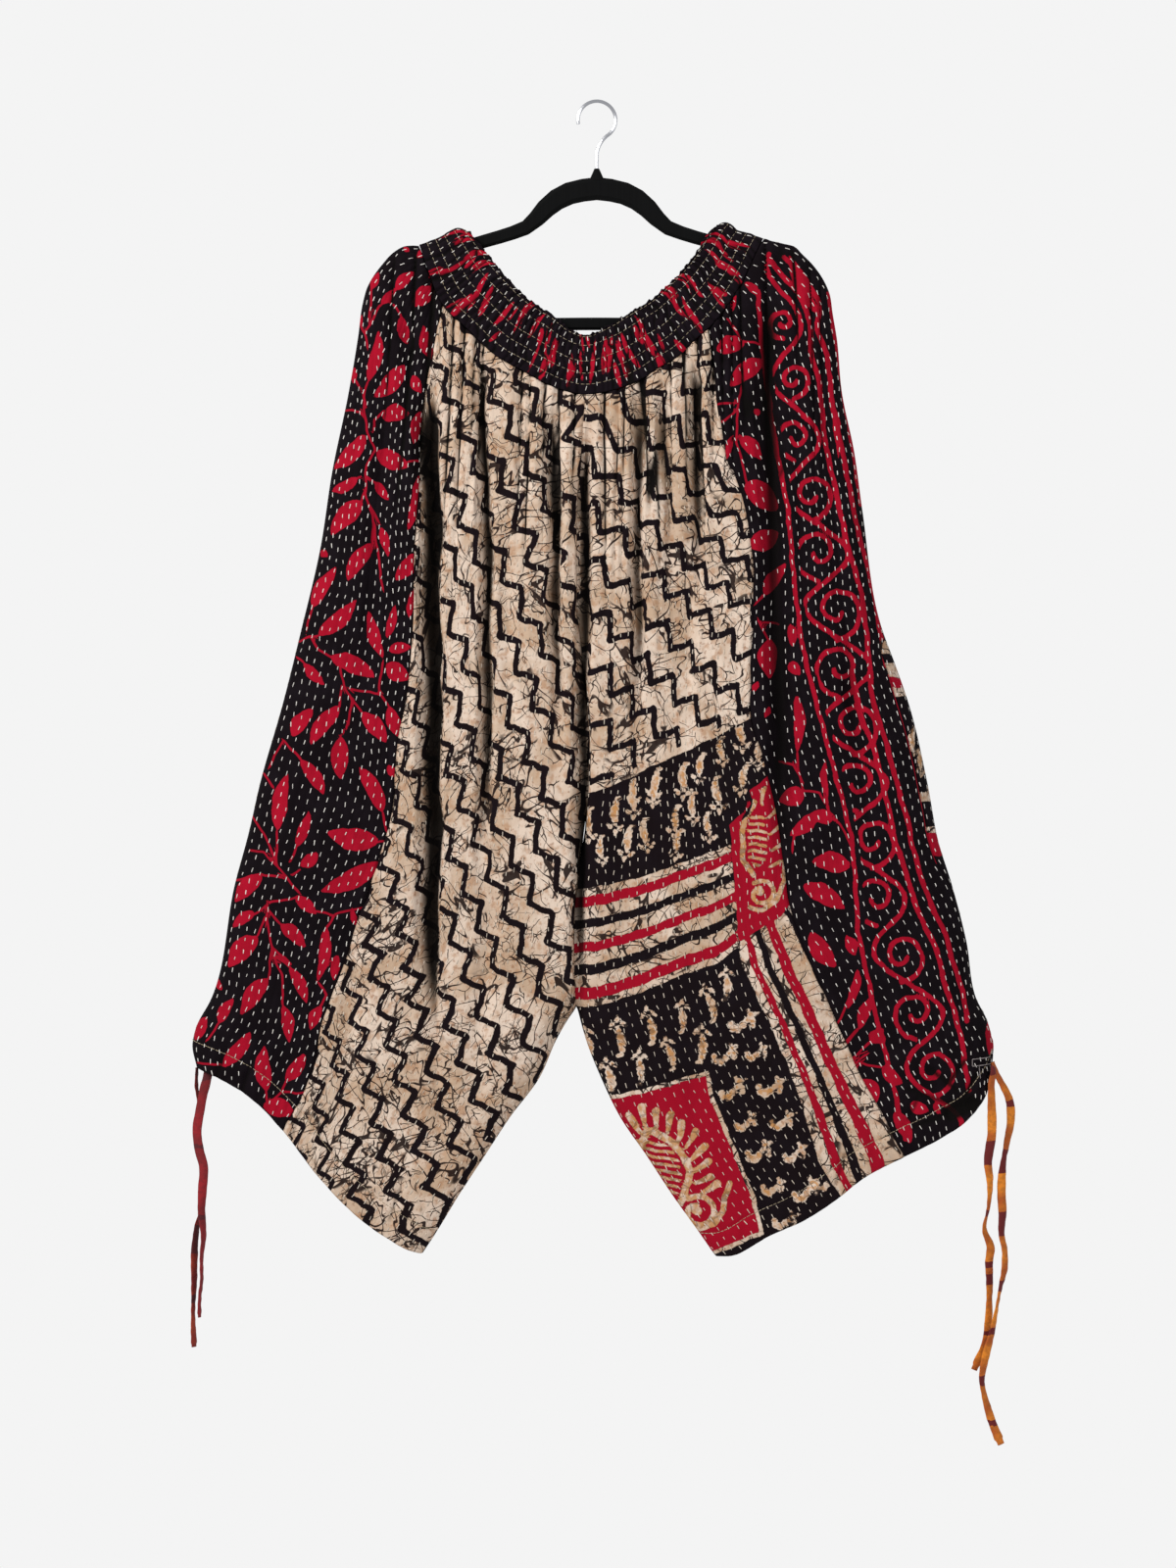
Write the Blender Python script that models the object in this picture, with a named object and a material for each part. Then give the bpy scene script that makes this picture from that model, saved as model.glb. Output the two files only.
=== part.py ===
"""Balloon trousers of patchwork cotton, gathered on a shirred waistband and hung on a clothes hanger.

Units are metres, +Z is up and the front faces -Y. The origin is the inside top of the hanger's hook.
Each cloth panel is a patch between four edge lines, which are (x, z) places on the hung garment. The
patch is carried out to the hung depth, its folds are pressed in, and a wall is given behind it.
"""

import math
from collections import namedtuple

import bmesh
import bpy
import numpy as np
from mathutils import Vector

# Walls and gaps
CLOTH = 0.002  # two quilted layers and their stitching
BAND = 0.003  # the waistband, thicker by its gathers
SEAM_GAP = 0.0003
LEAST_DEPTH = 0.0055  # how near a fold's floor comes to the garment's middle plane

# Back of the garment, a little lower at the waist than the front
BACK_DROP = 0.006

# Drawstring tapes
TAPE_WIDTH = 0.008
TAPE_THICKNESS = 0.0014

# Hanger
HANGER_HALF_DEPTH = 0.003
WIRE_RADIUS = 0.0017
HOOK_RADIUS = 0.0168
BOSS_TOP = -0.0645
BOSS_FOOT = -0.076

FRONT = -1
BACK = 1

# Facets of the panels
ROWS = 22
BAND_ROWS = 2
FRONT_COLUMNS = 14
BACK_COLUMNS = 9
SIDE_COLUMNS = 8
LIP_COLUMNS = 2
EDGE_STEPS = 240
EDGE_SLACK = 0.0004  # what lies this near to a fold edge is on it
ROW_EASE = 1.5  # a side panel's columns are closest together at its fold edge

# The fold edges, where the cloth turns from front to back: place, and how far in from it the turn reaches.
Edge = namedtuple("Edge", "x z turn")
LEFT_EDGE = (
    Edge(-0.126, -0.126, 0.014),
    Edge(-0.132, -0.123, 0.014),
    Edge(-0.139, -0.123, 0.014),
    Edge(-0.145, -0.126, 0.015),
    Edge(-0.153, -0.131, 0.016),
    Edge(-0.163, -0.135, 0.018),
    Edge(-0.174, -0.139, 0.020),
    Edge(-0.190, -0.141, 0.024),
    Edge(-0.201, -0.148, 0.028),
    Edge(-0.210, -0.158, 0.030),
    Edge(-0.219, -0.170, 0.030),
    Edge(-0.225, -0.181, 0.032),
    Edge(-0.229, -0.195, 0.034),
    Edge(-0.234, -0.230, 0.038),
    Edge(-0.243, -0.283, 0.042),
    Edge(-0.259, -0.360, 0.045),
    Edge(-0.271, -0.437, 0.045),
    Edge(-0.289, -0.514, 0.045),
    Edge(-0.308, -0.590, 0.045),
    Edge(-0.330, -0.667, 0.045),
    Edge(-0.341, -0.715, 0.045),
    Edge(-0.354, -0.763, 0.045),
    Edge(-0.378, -0.878, 0.040),
    Edge(-0.393, -0.907, 0.036),
    Edge(-0.396, -0.922, 0.034),
    Edge(-0.392, -0.944, 0.032),
)
RIGHT_EDGE = (
    Edge(0.116, -0.123, 0.014),
    Edge(0.121, -0.118, 0.014),
    Edge(0.127, -0.117, 0.014),
    Edge(0.132, -0.119, 0.014),
    Edge(0.137, -0.124, 0.015),
    Edge(0.150, -0.128, 0.018),
    Edge(0.163, -0.133, 0.020),
    Edge(0.183, -0.138, 0.024),
    Edge(0.194, -0.141, 0.026),
    Edge(0.201, -0.148, 0.028),
    Edge(0.211, -0.158, 0.030),
    Edge(0.220, -0.170, 0.030),
    Edge(0.228, -0.187, 0.032),
    Edge(0.231, -0.206, 0.034),
    Edge(0.235, -0.230, 0.038),
    Edge(0.240, -0.283, 0.042),
    Edge(0.252, -0.341, 0.045),
    Edge(0.260, -0.398, 0.045),
    Edge(0.279, -0.514, 0.045),
    Edge(0.293, -0.552, 0.045),
    Edge(0.306, -0.590, 0.045),
    Edge(0.324, -0.667, 0.045),
    Edge(0.335, -0.725, 0.045),
    Edge(0.347, -0.763, 0.045),
    Edge(0.362, -0.821, 0.042),
    Edge(0.372, -0.878, 0.038),
    Edge(0.382, -0.898, 0.034),
    Edge(0.387, -0.917, 0.032),
    Edge(0.386, -0.948, 0.030),
)
LEFT_SHOULDER = 6  # the row of each fold edge at which the waistband ends and the side panel begins
RIGHT_SHOULDER = 6

CROTCH = (-0.020, -0.888)
LEFT_INSEAM = (
    CROTCH,
    (-0.027, -0.898),
    (-0.038, -0.917),
    (-0.055, -0.955),
    (-0.084, -0.994),
    (-0.109, -1.032),
    (-0.134, -1.070),
    (-0.158, -1.109),
    (-0.170, -1.127),
)
RIGHT_INSEAM = (
    CROTCH,
    (-0.012, -0.917),
    (0.003, -0.955),
    (0.022, -0.994),
    (0.048, -1.032),
    (0.073, -1.070),
    (0.101, -1.109),
    (0.115, -1.129),
)
INSEAM_TURN = 0.032

# Waistband, from the loop over the left arm of the hanger to the loop over the right arm
WAIST_TOP = (
    (-0.126, -0.126),
    (-0.113, -0.142),
    (-0.086, -0.175),
    (-0.066, -0.195),
    (-0.039, -0.213),
    (-0.026, -0.224),
    (-0.011, -0.230),
    (0.009, -0.222),
    (0.030, -0.209),
    (0.053, -0.195),
    (0.071, -0.179),
    (0.087, -0.162),
    (0.099, -0.146),
    (0.106, -0.134),
    (0.116, -0.123),
)
WAIST_FOOT = (
    (-0.174, -0.139),
    (-0.164, -0.168),
    (-0.151, -0.199),
    (-0.126, -0.224),
    (-0.097, -0.251),
    (-0.072, -0.265),
    (-0.048, -0.278),
    (-0.011, -0.288),
    (0.011, -0.285),
    (0.042, -0.274),
    (0.060, -0.262),
    (0.079, -0.251),
    (0.095, -0.235),
    (0.108, -0.224),
    (0.131, -0.195),
    (0.145, -0.171),
    (0.156, -0.147),
    (0.163, -0.133),
)

# Seams, from the waistband down
LEFT_SEAM = (
    (-0.151, -0.199),
    (-0.158, -0.241),
    (-0.166, -0.283),
    (-0.171, -0.350),
    (-0.178, -0.475),
    (-0.181, -0.552),
    (-0.192, -0.619),
    (-0.203, -0.712),
    (-0.224, -0.776),
    (-0.247, -0.845),
    (-0.266, -0.897),
    (-0.277, -0.946),
    (-0.291, -0.979),
    (-0.306, -1.005),
)
CENTRE_SEAM = (
    (-0.011, -0.288),
    (-0.016, -0.350),
    (-0.018, -0.475),
    (-0.012, -0.571),
    (-0.009, -0.667),
    (-0.014, -0.725),
    (-0.018, -0.763),
    (-0.021, -0.821),
    CROTCH,
)
RIGHT_SEAM = (
    (0.108, -0.224),
    (0.113, -0.257),
    (0.119, -0.309),
    (0.126, -0.349),
    (0.138, -0.376),
    (0.150, -0.432),
    (0.152, -0.494),
    (0.149, -0.562),
    (0.151, -0.605),
    (0.162, -0.643),
    (0.174, -0.686),
    (0.181, -0.734),
    (0.186, -0.783),
    (0.203, -0.830),
    (0.224, -0.877),
    (0.241, -0.917),
    (0.259, -0.954),
    (0.279, -0.989),
    (0.299, -1.031),
)

# Hems, each from its outer corner to the low tip at the inseam
LEFT_HEM = (
    (-0.392, -0.944),
    (-0.366, -0.955),
    (-0.336, -0.974),
    (-0.306, -1.005),
    (-0.271, -1.051),
    (-0.233, -1.090),
    (-0.204, -1.111),
    (-0.183, -1.123),
    (-0.170, -1.127),
)
RIGHT_HEM = (
    (0.386, -0.948),
    (0.378, -0.972),
    (0.362, -0.994),
    (0.334, -1.013),
    (0.299, -1.031),
    (0.261, -1.051),
    (0.237, -1.070),
    (0.204, -1.092),
    (0.167, -1.109),
    (0.131, -1.128),
    (0.115, -1.129),
)

# How far the back's side panel reaches round to the front at the right side, by distance below the hook
Lip = namedtuple("Lip", "drop reach")
SIDE_LIP = (
    Lip(0.500, 0.002),
    Lip(0.560, 0.009),
    Lip(0.640, 0.014),
    Lip(0.700, 0.013),
    Lip(0.770, 0.002),
)

# Half of the hung garment's depth away from its fold edges, by distance below the hook
Depth = namedtuple("Depth", "drop half")
DEPTHS = (
    Depth(0.115, 0.0095),
    Depth(0.150, 0.0115),
    Depth(0.190, 0.0150),
    Depth(0.240, 0.0190),
    Depth(0.300, 0.0230),
    Depth(0.450, 0.0270),
    Depth(0.750, 0.0280),
    Depth(0.900, 0.0250),
    Depth(1.000, 0.0190),
    Depth(1.130, 0.0120),
)

# Folds: the stretch each covers, its x at the top, middle and foot, its reach to each side and its depth
Fold = namedtuple("Fold", "top foot x_top x_mid x_foot left right depth")
FRONT_FOLDS = (
    Fold(0.190, 0.900, -0.178, -0.163, -0.172, 0.020, 0.017, 0.0190),
    Fold(0.230, 0.820, -0.109, -0.102, -0.112, 0.013, 0.011, 0.0100),
    Fold(0.270, 0.440, -0.076, -0.071, -0.066, 0.010, 0.010, 0.0055),
    Fold(0.280, 0.480, -0.041, -0.038, -0.034, 0.010, 0.010, 0.0070),
    Fold(0.285, 0.860, -0.014, -0.014, -0.018, 0.012, 0.012, 0.0110),
    Fold(0.280, 0.440, 0.012, 0.018, 0.022, 0.009, 0.009, 0.0060),
    Fold(0.265, 0.630, 0.041, 0.039, 0.041, 0.012, 0.012, 0.0065),
    Fold(0.255, 0.480, 0.075, 0.078, 0.087, 0.010, 0.010, 0.0070),
    Fold(0.235, 0.440, 0.101, 0.109, 0.121, 0.010, 0.010, 0.0060),
    Fold(0.170, 0.800, 0.168, 0.174, 0.189, 0.018, 0.016, 0.0190),
    Fold(0.230, 0.760, 0.219, 0.241, 0.270, 0.016, 0.016, 0.0050),
    Fold(0.220, 0.680, -0.206, -0.214, -0.238, 0.016, 0.016, 0.0045),
    Fold(0.720, 1.070, -0.098, -0.112, -0.134, 0.018, 0.018, 0.0045),
    Fold(0.760, 1.040, -0.226, -0.240, -0.252, 0.018, 0.018, 0.0045),
    Fold(0.860, 1.080, 0.086, 0.096, 0.108, 0.018, 0.018, 0.0040),
    Fold(0.840, 1.020, 0.214, 0.236, 0.258, 0.016, 0.016, 0.0050),
)
BACK_FOLDS = (
    Fold(0.200, 0.860, -0.166, -0.160, -0.178, 0.018, 0.020, 0.0170),
    Fold(0.240, 0.700, -0.118, -0.108, -0.120, 0.014, 0.014, 0.0090),
    Fold(0.280, 0.520, -0.058, -0.054, -0.050, 0.011, 0.011, 0.0070),
    Fold(0.290, 0.860, -0.012, -0.012, -0.018, 0.012, 0.012, 0.0110),
    Fold(0.275, 0.560, 0.034, 0.038, 0.044, 0.011, 0.011, 0.0070),
    Fold(0.250, 0.720, 0.086, 0.092, 0.098, 0.013, 0.013, 0.0090),
    Fold(0.200, 0.820, 0.146, 0.160, 0.186, 0.018, 0.018, 0.0170),
    Fold(0.560, 1.000, -0.236, -0.256, -0.276, 0.018, 0.018, 0.0060),
    Fold(0.560, 0.980, 0.242, 0.262, 0.286, 0.018, 0.018, 0.0060),
    Fold(0.820, 1.080, -0.116, -0.128, -0.146, 0.018, 0.018, 0.0045),
    Fold(0.840, 1.080, 0.094, 0.112, 0.132, 0.018, 0.018, 0.0045),
)
FOLD_START = 0.075  # the length over which a fold deepens below the waistband
FOLD_END = 0.200  # the length over which it dies out

# Drawstring ends: place, and how far the flat tape is turned from facing the front, in degrees
Tape = namedtuple("Tape", "x y z turn")
LEFT_TAPE_A = (
    Tape(-0.3922, 0.0018, -0.9443, 86),
    Tape(-0.3930, 0.0050, -0.9620, 80),
    Tape(-0.391, 0.0075, -0.981, 80),
    Tape(-0.392, 0.0080, -0.996, 75),
    Tape(-0.389, 0.0080, -1.025, 70),
    Tape(-0.386, 0.0080, -1.063, 75),
    Tape(-0.388, 0.0080, -1.085, 80),
    Tape(-0.392, 0.0070, -1.099, 75),
    Tape(-0.394, 0.0050, -1.114, 60),
    Tape(-0.395, 0.0040, -1.134, 50),
    Tape(-0.395, 0.0040, -1.153, 60),
    Tape(-0.396, 0.0030, -1.188, 75),
    Tape(-0.395, 0.0030, -1.219, 55),
)
LEFT_TAPE_B = (
    Tape(-0.3790, -0.0104, -0.9465, 6),
    Tape(-0.3810, -0.0100, -0.9560, 8),
    Tape(-0.384, -0.0088, -0.967, 10),
    Tape(-0.388, -0.0070, -0.987, 5),
    Tape(-0.391, -0.0050, -1.006, 0),
    Tape(-0.389, -0.0040, -1.025, 0),
    Tape(-0.385, -0.0030, -1.041, 0),
    Tape(-0.386, -0.0030, -1.063, 15),
    Tape(-0.387, -0.0035, -1.085, 60),
    Tape(-0.385, -0.0030, -1.109, 78),
    Tape(-0.387, -0.0030, -1.131, 80),
    Tape(-0.387, -0.0030, -1.153, 80),
    Tape(-0.389, -0.0030, -1.172, 80),
    Tape(-0.389, -0.0030, -1.189, 75),
)
RIGHT_TAPE_A = (
    Tape(0.3870, -0.0112, -0.9437, 60),
    Tape(0.3862, -0.0160, -0.9500, 40),
    Tape(0.3842, -0.0200, -0.9570, 12),
    Tape(0.3838, -0.0208, -0.9680, 0),
    Tape(0.3842, -0.0196, -0.9800, 0),
    Tape(0.3850, -0.0150, -1.0080, 10),
    Tape(0.382, -0.0090, -1.039, 60),
    Tape(0.384, -0.0080, -1.055, 70),
    Tape(0.383, -0.0070, -1.078, 20),
    Tape(0.379, -0.0060, -1.104, 35),
    Tape(0.385, -0.0040, -1.120, 40),
    Tape(0.384, -0.0010, -1.135, 45),
    Tape(0.385, 0.0030, -1.155, 35),
    Tape(0.385, 0.0050, -1.172, 25),
    Tape(0.384, 0.0055, -1.196, 20),
    Tape(0.381, 0.0055, -1.218, 20),
    Tape(0.374, 0.0055, -1.233, 15),
    Tape(0.370, 0.0055, -1.242, 15),
)
RIGHT_TAPE_B = (
    Tape(0.3872, -0.0015, -0.9394, 90),
    Tape(0.3905, -0.0020, -0.9490, 60),
    Tape(0.397, -0.0040, -0.962, 35),
    Tape(0.403, -0.0050, -0.975, 20),
    Tape(0.405, -0.0040, -0.994, 25),
    Tape(0.401, -0.0030, -1.019, 50),
    Tape(0.397, -0.0020, -1.044, 10),
    Tape(0.396, -0.0020, -1.067, 20),
    Tape(0.397, -0.0020, -1.088, 45),
    Tape(0.396, -0.0020, -1.107, 50),
    Tape(0.399, -0.0020, -1.123, 40),
    Tape(0.399, -0.0030, -1.140, 60),
    Tape(0.394, -0.0040, -1.163, 70),
    Tape(0.391, -0.0050, -1.179, 60),
    Tape(0.386, -0.0050, -1.205, 40),
    Tape(0.381, -0.0040, -1.224, 25),
    Tape(0.377, -0.0020, -1.253, 55),
    Tape(0.381, 0.0000, -1.272, 35),
    Tape(0.387, 0.0000, -1.292, 20),
    Tape(0.396, 0.0000, -1.314, 5),
)
TAPE_STEP = 0.012

# Hanger's centre line from the top of its arch to the middle of its bar, with half its height there
Arm = namedtuple("Arm", "x z half")
HANGER_HALF = (
    Arm(0.0000, -0.0840, 0.0112),
    Arm(-0.0250, -0.0880, 0.0110),
    Arm(-0.0440, -0.0980, 0.0103),
    Arm(-0.0560, -0.1100, 0.0089),
    Arm(-0.0655, -0.1200, 0.0073),
    Arm(-0.0790, -0.1260, 0.0067),
    Arm(-0.1100, -0.1355, 0.0064),
    Arm(-0.1620, -0.1510, 0.0064),
    Arm(-0.1970, -0.1612, 0.0062),
    Arm(-0.2063, -0.1683, 0.0060),
    Arm(-0.2100, -0.1790, 0.0056),
    Arm(-0.2070, -0.1930, 0.0056),
    Arm(-0.1970, -0.2055, 0.0058),
    Arm(-0.1770, -0.2145, 0.0061),
    Arm(-0.1330, -0.2165, 0.0061),
    Arm(0.0000, -0.2165, 0.0061),
)
HANGER_STEPS = 34
HANGER_SECTION = ((1, 0.25), (0.6, 1), (-0.6, 1), (-1, 0.25), (-1, -0.25), (-0.6, -1), (0.6, -1), (1, -0.25))
BOSS_FOOT_RADIUS = 0.0075
BOSS_TOP_RADIUS = 0.0024


def clear_scene():
    for obj in list(bpy.data.objects):
        bpy.data.objects.remove(obj, do_unlink=True)


def material(name, colour, roughness, metallic=0.0):
    made = bpy.data.materials.new(name)
    made.use_nodes = True
    shader = made.node_tree.nodes["Principled BSDF"]
    shader.inputs["Base Color"].default_value = (*colour, 1.0)
    shader.inputs["Roughness"].default_value = roughness
    shader.inputs["Metallic"].default_value = metallic
    return made


def add_object(name, data, finish):
    data.materials.append(finish)
    obj = bpy.data.objects.new(name, data)
    bpy.context.scene.collection.objects.link(obj)
    return obj


def add_mesh(name, bm, finish):
    """Makes an object of the closed mesh, with its faces pointing out."""
    bmesh.ops.recalc_face_normals(bm, faces=bm.faces[:])
    mesh = bpy.data.meshes.new(name)
    bm.to_mesh(mesh)
    bm.free()
    mesh.shade_smooth()
    mesh.set_sharp_from_angle(angle=math.radians(50))
    return add_object(name, mesh, finish)


# Lines


def through(points):
    """A smooth line through the points, asked for by the fraction of its length."""
    places = [Vector(point) for point in points]
    gaps = [(b - a).length for a, b in zip(places, places[1:])]
    marks = [sum(gaps[:i]) / sum(gaps) for i in range(len(places))]
    slopes = [(b - a) / gap for a, b, gap in zip(places, places[1:], gaps)]
    bends = [slopes[0]]
    for i in range(1, len(slopes)):
        share = gaps[i - 1] / (gaps[i - 1] + gaps[i])
        bends.append(slopes[i - 1] * (1 - share) + slopes[i] * share)
    bends.append(slopes[-1])

    def line(t):
        t = min(max(t, 0.0), 1.0)
        i = max(k for k in range(len(gaps)) if marks[k] <= t)
        f = (t - marks[i]) / (marks[i + 1] - marks[i])
        start = places[i] * (2 * f**3 - 3 * f**2 + 1) + places[i + 1] * (3 * f**2 - 2 * f**3)
        turn = bends[i] * (f**3 - 2 * f**2 + f) + bends[i + 1] * (f**3 - f**2)
        return start + turn * gaps[i]

    return line


def stretch(line, start, end):
    return lambda t: line(start + (end - start) * t)


def joined(first, second):
    """One line after the other, in fractions of their two lengths."""
    lengths = [sum((each((i + 1) / 40) - each(i / 40)).length for i in range(40)) for each in (first, second)]
    share = lengths[0] / sum(lengths)
    return lambda t: first(t / share) if t < share else second((t - share) / (1 - share))


def where(line, place):
    """The fraction at which the line passes nearest to a place."""
    best, span = 0.5, 0.5
    while span > 1e-7:
        tries = [min(max(best + span * i / 40, 0.0), 1.0) for i in range(-40, 41)]
        best = min(tries, key=lambda t: (line(t) - Vector(place)).length)
        span /= 20
    return best


def started_at(line, place):
    """The line with its start moved to a place, easing back to its own course."""
    shift = Vector(place) - line(0.0)
    return lambda t: line(t) + shift * (1 - t) ** 4


def lowered(line, amount):
    """The line, sagging by this amount at its middle."""
    return lambda t: line(t) - Vector((0.0, amount * math.sin(math.pi * t)))


def read_table(rows, at):
    """The second column of a table at a value of its first, joined by straight lines."""
    return float(np.interp(at, [row[0] for row in rows], [row[1] for row in rows]))


# The hung form


class TurnEdge:
    """A fold edge, with its outward direction and how far in from it the cloth turns."""

    def __init__(self, line, turn_at, outward):
        """turn_at is the reach of the turn, as (fraction of the line, reach) rows."""
        shares = [i / EDGE_STEPS for i in range(EDGE_STEPS + 1)]
        self.places = np.array([tuple(line(share)) for share in shares])
        self.turns = np.array([read_table(turn_at, share) for share in shares])
        along = np.gradient(self.places, axis=0)
        normals = np.stack([along[:, 1], -along[:, 0]], axis=1) * outward
        self.normals = normals / np.linalg.norm(normals, axis=1)[:, None]

    def nearest(self, place):
        """Distance to the edge, the outward direction there and the reach of its turn."""
        starts = self.places[:-1]
        spans = self.places[1:] - starts
        away = np.array(place) - starts
        share = np.clip((away * spans).sum(1) / (spans * spans).sum(1), 0.0, 1.0)
        gaps = np.linalg.norm(away - spans * share[:, None], axis=1)
        i = int(gaps.argmin())
        f = float(share[i])
        outward = self.normals[i] * (1 - f) + self.normals[i + 1] * f
        turn = self.turns[i] * (1 - f) + self.turns[i + 1] * f
        return max(float(gaps[i]) - EDGE_SLACK, 0.0), outward / np.linalg.norm(outward), float(turn)


def fold_press(place, folds):
    """How far the folds press the cloth in at this place."""
    x, drop = place[0], -place[1]
    pressed = 0.0
    for fold in folds:
        if not fold.top < drop < fold.foot:
            continue
        f = (drop - fold.top) / (fold.foot - fold.top)
        bow = fold.x_mid - (fold.x_top + fold.x_foot) / 2
        away = x - (fold.x_top + (fold.x_foot - fold.x_top) * f + 4 * bow * f * (1 - f))
        share = away / (fold.right if away > 0 else fold.left)
        if abs(share) < 1:
            fade = min(1.0, (drop - fold.top) / FOLD_START, (fold.foot - drop) / FOLD_END)
            fade = fade * fade * (3 - 2 * fade)
            pressed += fold.depth * fade * (1 + math.cos(math.pi * share)) / 2
    return pressed


def hung(place, side, seam_gap, turn_edges, folds):
    """The cloth's outer face over an (x, z) place on one side of the garment, and its outward direction."""
    half = read_table(DEPTHS, -place[1])
    rise = 1.0
    lean = np.zeros(2)
    for edge in turn_edges:
        gap, outward, turn = edge.nearest(place)
        level = 1 - min(gap / turn, 1.0)
        rise *= math.sqrt(max(1 - level * level, 0.0))
        lean = lean + outward * level * half / turn
    pressed = min(fold_press(place, folds), max(half - LEAST_DEPTH, 0.0)) * rise
    step = 0.0008
    slope = np.array(
        [
            fold_press((place[0] + step, place[1]), folds) - fold_press((place[0] - step, place[1]), folds),
            fold_press((place[0], place[1] + step), folds) - fold_press((place[0], place[1] - step), folds),
        ]
    ) / (2 * step)
    lean = lean + slope * rise * rise
    depth = seam_gap / 2 + half * rise - pressed
    return (
        Vector((place[0], side * depth, place[1])),
        Vector((lean[0], side * max(rise, 0.001), lean[1])).normalized(),
    )


def patch(top, foot, first, last):
    """Places inside four edge lines: u runs from the first side line to the last, and v down."""

    def place(u, v):
        across = top(u) * (1 - v) + foot(u) * v
        down = first(v) * (1 - u) + last(v) * u
        above = top(0) * (1 - u) + top(1) * u
        below = foot(0) * (1 - u) + foot(1) * u
        return across + down - above * (1 - v) - below * v

    return place


def cloth_wall(name, columns, rows, outer_face, thickness, finish):
    """A closed wall behind a face that is given by fractions across and down."""
    bm = bmesh.new()
    bmesh.ops.create_grid(bm, x_segments=columns, y_segments=rows, size=0.5)
    rim = [edge for edge in bm.edges if edge.is_boundary]
    outer = bm.verts[:]
    inner = bmesh.ops.duplicate(bm, geom=bm.verts[:] + bm.edges[:] + bm.faces[:])["vert_map"]
    for vert in outer:
        place, outward = outer_face(vert.co.x + 0.5, 0.5 - vert.co.y)
        inner[vert].co = place - outward * thickness
        vert.co = place
    # The rims of two panels that meet are split the same way, so that their twist is the same too.
    for edge in rim:
        a, b = sorted(edge.verts, key=lambda vert: vert.co.z + 0.3 * vert.co.x)
        bm.faces.new((a, b, inner[a]))
        bm.faces.new((b, inner[b], inner[a]))
    return add_mesh(name, bm, finish)


def face_over(place, u, v, side, seam_gap, turn_edges, folds, at_side=0):
    """The outer face at (u, v) of a patch, drawn in by half a seam's gap where the panel ends. At a side
    of the panel, at_side is the direction of u that leads into it."""
    spot = place(u, v)
    _, outward = hung(spot, side, seam_gap, turn_edges, folds)
    near = 0.004
    pulls = []
    if at_side:
        border = place(u, min(v + near, 1.0)) - place(u, max(v - near, 0.0))
        pulls.append((border, place(u + at_side * near, v)))
    if v < 1e-6 or v > 1 - 1e-6:
        border = place(min(u + near, 1.0), v) - place(max(u - near, 0.0), v)
        pulls.append((border, place(u, v + near if v < 0.5 else v - near)))
    drawn = spot.copy()
    for border, inside in pulls:
        across = Vector((border.y, -border.x)).normalized()
        drawn += across * math.copysign(SEAM_GAP / 2, across.dot(inside - spot))
    return hung(drawn, side, seam_gap, turn_edges, folds)[0], outward


def eased(start, columns):
    """Fractions of a side panel's row, from start to its end, closest at the fold edge."""
    return [start + (1 - start) * (i / columns) ** ROW_EASE for i in range(columns + 1)]


def even(columns):
    return [i / columns for i in range(columns + 1)]


def flat_panel(name, place, shares, rows, side, turn_edges, folds, finish, thickness=CLOTH):
    """A panel that lies all on the front or all on the back. shares(v) gives its columns' fractions."""
    columns = len(shares(0.0)) - 1

    def outer_face(u, v):
        column = round(u * columns)
        at_side = {0: 1, columns: -1}.get(column, 0)
        return face_over(place, shares(v)[column], v, side, SEAM_GAP, turn_edges, folds, at_side)

    return cloth_wall(name, columns, rows, outer_face, thickness, finish)


def wrapped_panel(name, places, columns, rows, front_reach, turn_edges, finish):
    """A panel that turns round a fold edge, where its two patches start. front_reach(v) gives the fraction
    of the front patch that it covers. It covers the whole of the back patch."""
    front_columns, back_columns = columns

    def outer_face(u, v):
        column = round(u * (front_columns + back_columns)) - front_columns
        side = FRONT if column < 0 else BACK
        place = places[side]
        if side == FRONT:
            share = front_reach(v) * (-column / front_columns) ** ROW_EASE
        else:
            share = (column / back_columns) ** ROW_EASE
        folds = FRONT_FOLDS if side == FRONT else BACK_FOLDS
        at_side = -1 if column in (-front_columns, back_columns) else 0
        return face_over(place, share, v, side, 0.0, turn_edges, folds, at_side)

    return cloth_wall(name, front_columns + back_columns, rows, outer_face, CLOTH, finish)


# Hard pieces and tapes


def swept(name, rings, finish, closed=False):
    """A body through rings of the same number of points, capped at its ends or joined into a loop."""
    bm = bmesh.new()
    loops = [[bm.verts.new(point) for point in ring] for ring in rings]
    pairs = list(zip(loops, loops[1:]))
    if closed:
        pairs.append((loops[-1], loops[0]))
    else:
        bm.faces.new(loops[0])
        bm.faces.new(loops[-1])
    for near, far in pairs:
        for i in range(len(near)):
            k = (i + 1) % len(near)
            bm.faces.new((near[i], near[k], far[k], far[i]))
    return add_mesh(name, bm, finish)


def make_tape(name, rows, finish):
    """A flat tape along its route, turned about its own length as it hangs."""
    route = through([(row.x, row.y, row.z) for row in rows])
    turning = through([(row.turn / 1000, i * TAPE_STEP, 0.0) for i, row in enumerate(rows)])
    steps = round(sum(math.dist(a[:3], b[:3]) for a, b in zip(rows, rows[1:])) / TAPE_STEP)
    rings = []
    for i in range(steps + 1):
        t = i / steps
        middle = route(t)
        along = (route(min(t + 0.01, 1.0)) - route(max(t - 0.01, 0.0))).normalized()
        turn = math.radians(turning(t)[0] * 1000)
        facing = Vector((math.cos(turn), math.sin(turn), 0.0))
        wide = (facing - along * facing.dot(along)).normalized()
        thick = along.cross(wide)
        rings.append(
            [
                middle + wide * (TAPE_WIDTH / 2 * a) + thick * (TAPE_THICKNESS / 2 * b)
                for a, b in ((-1, -1), (1, -1), (1, 1), (-1, 1))
            ]
        )
    return swept(name, rings, finish)


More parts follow.
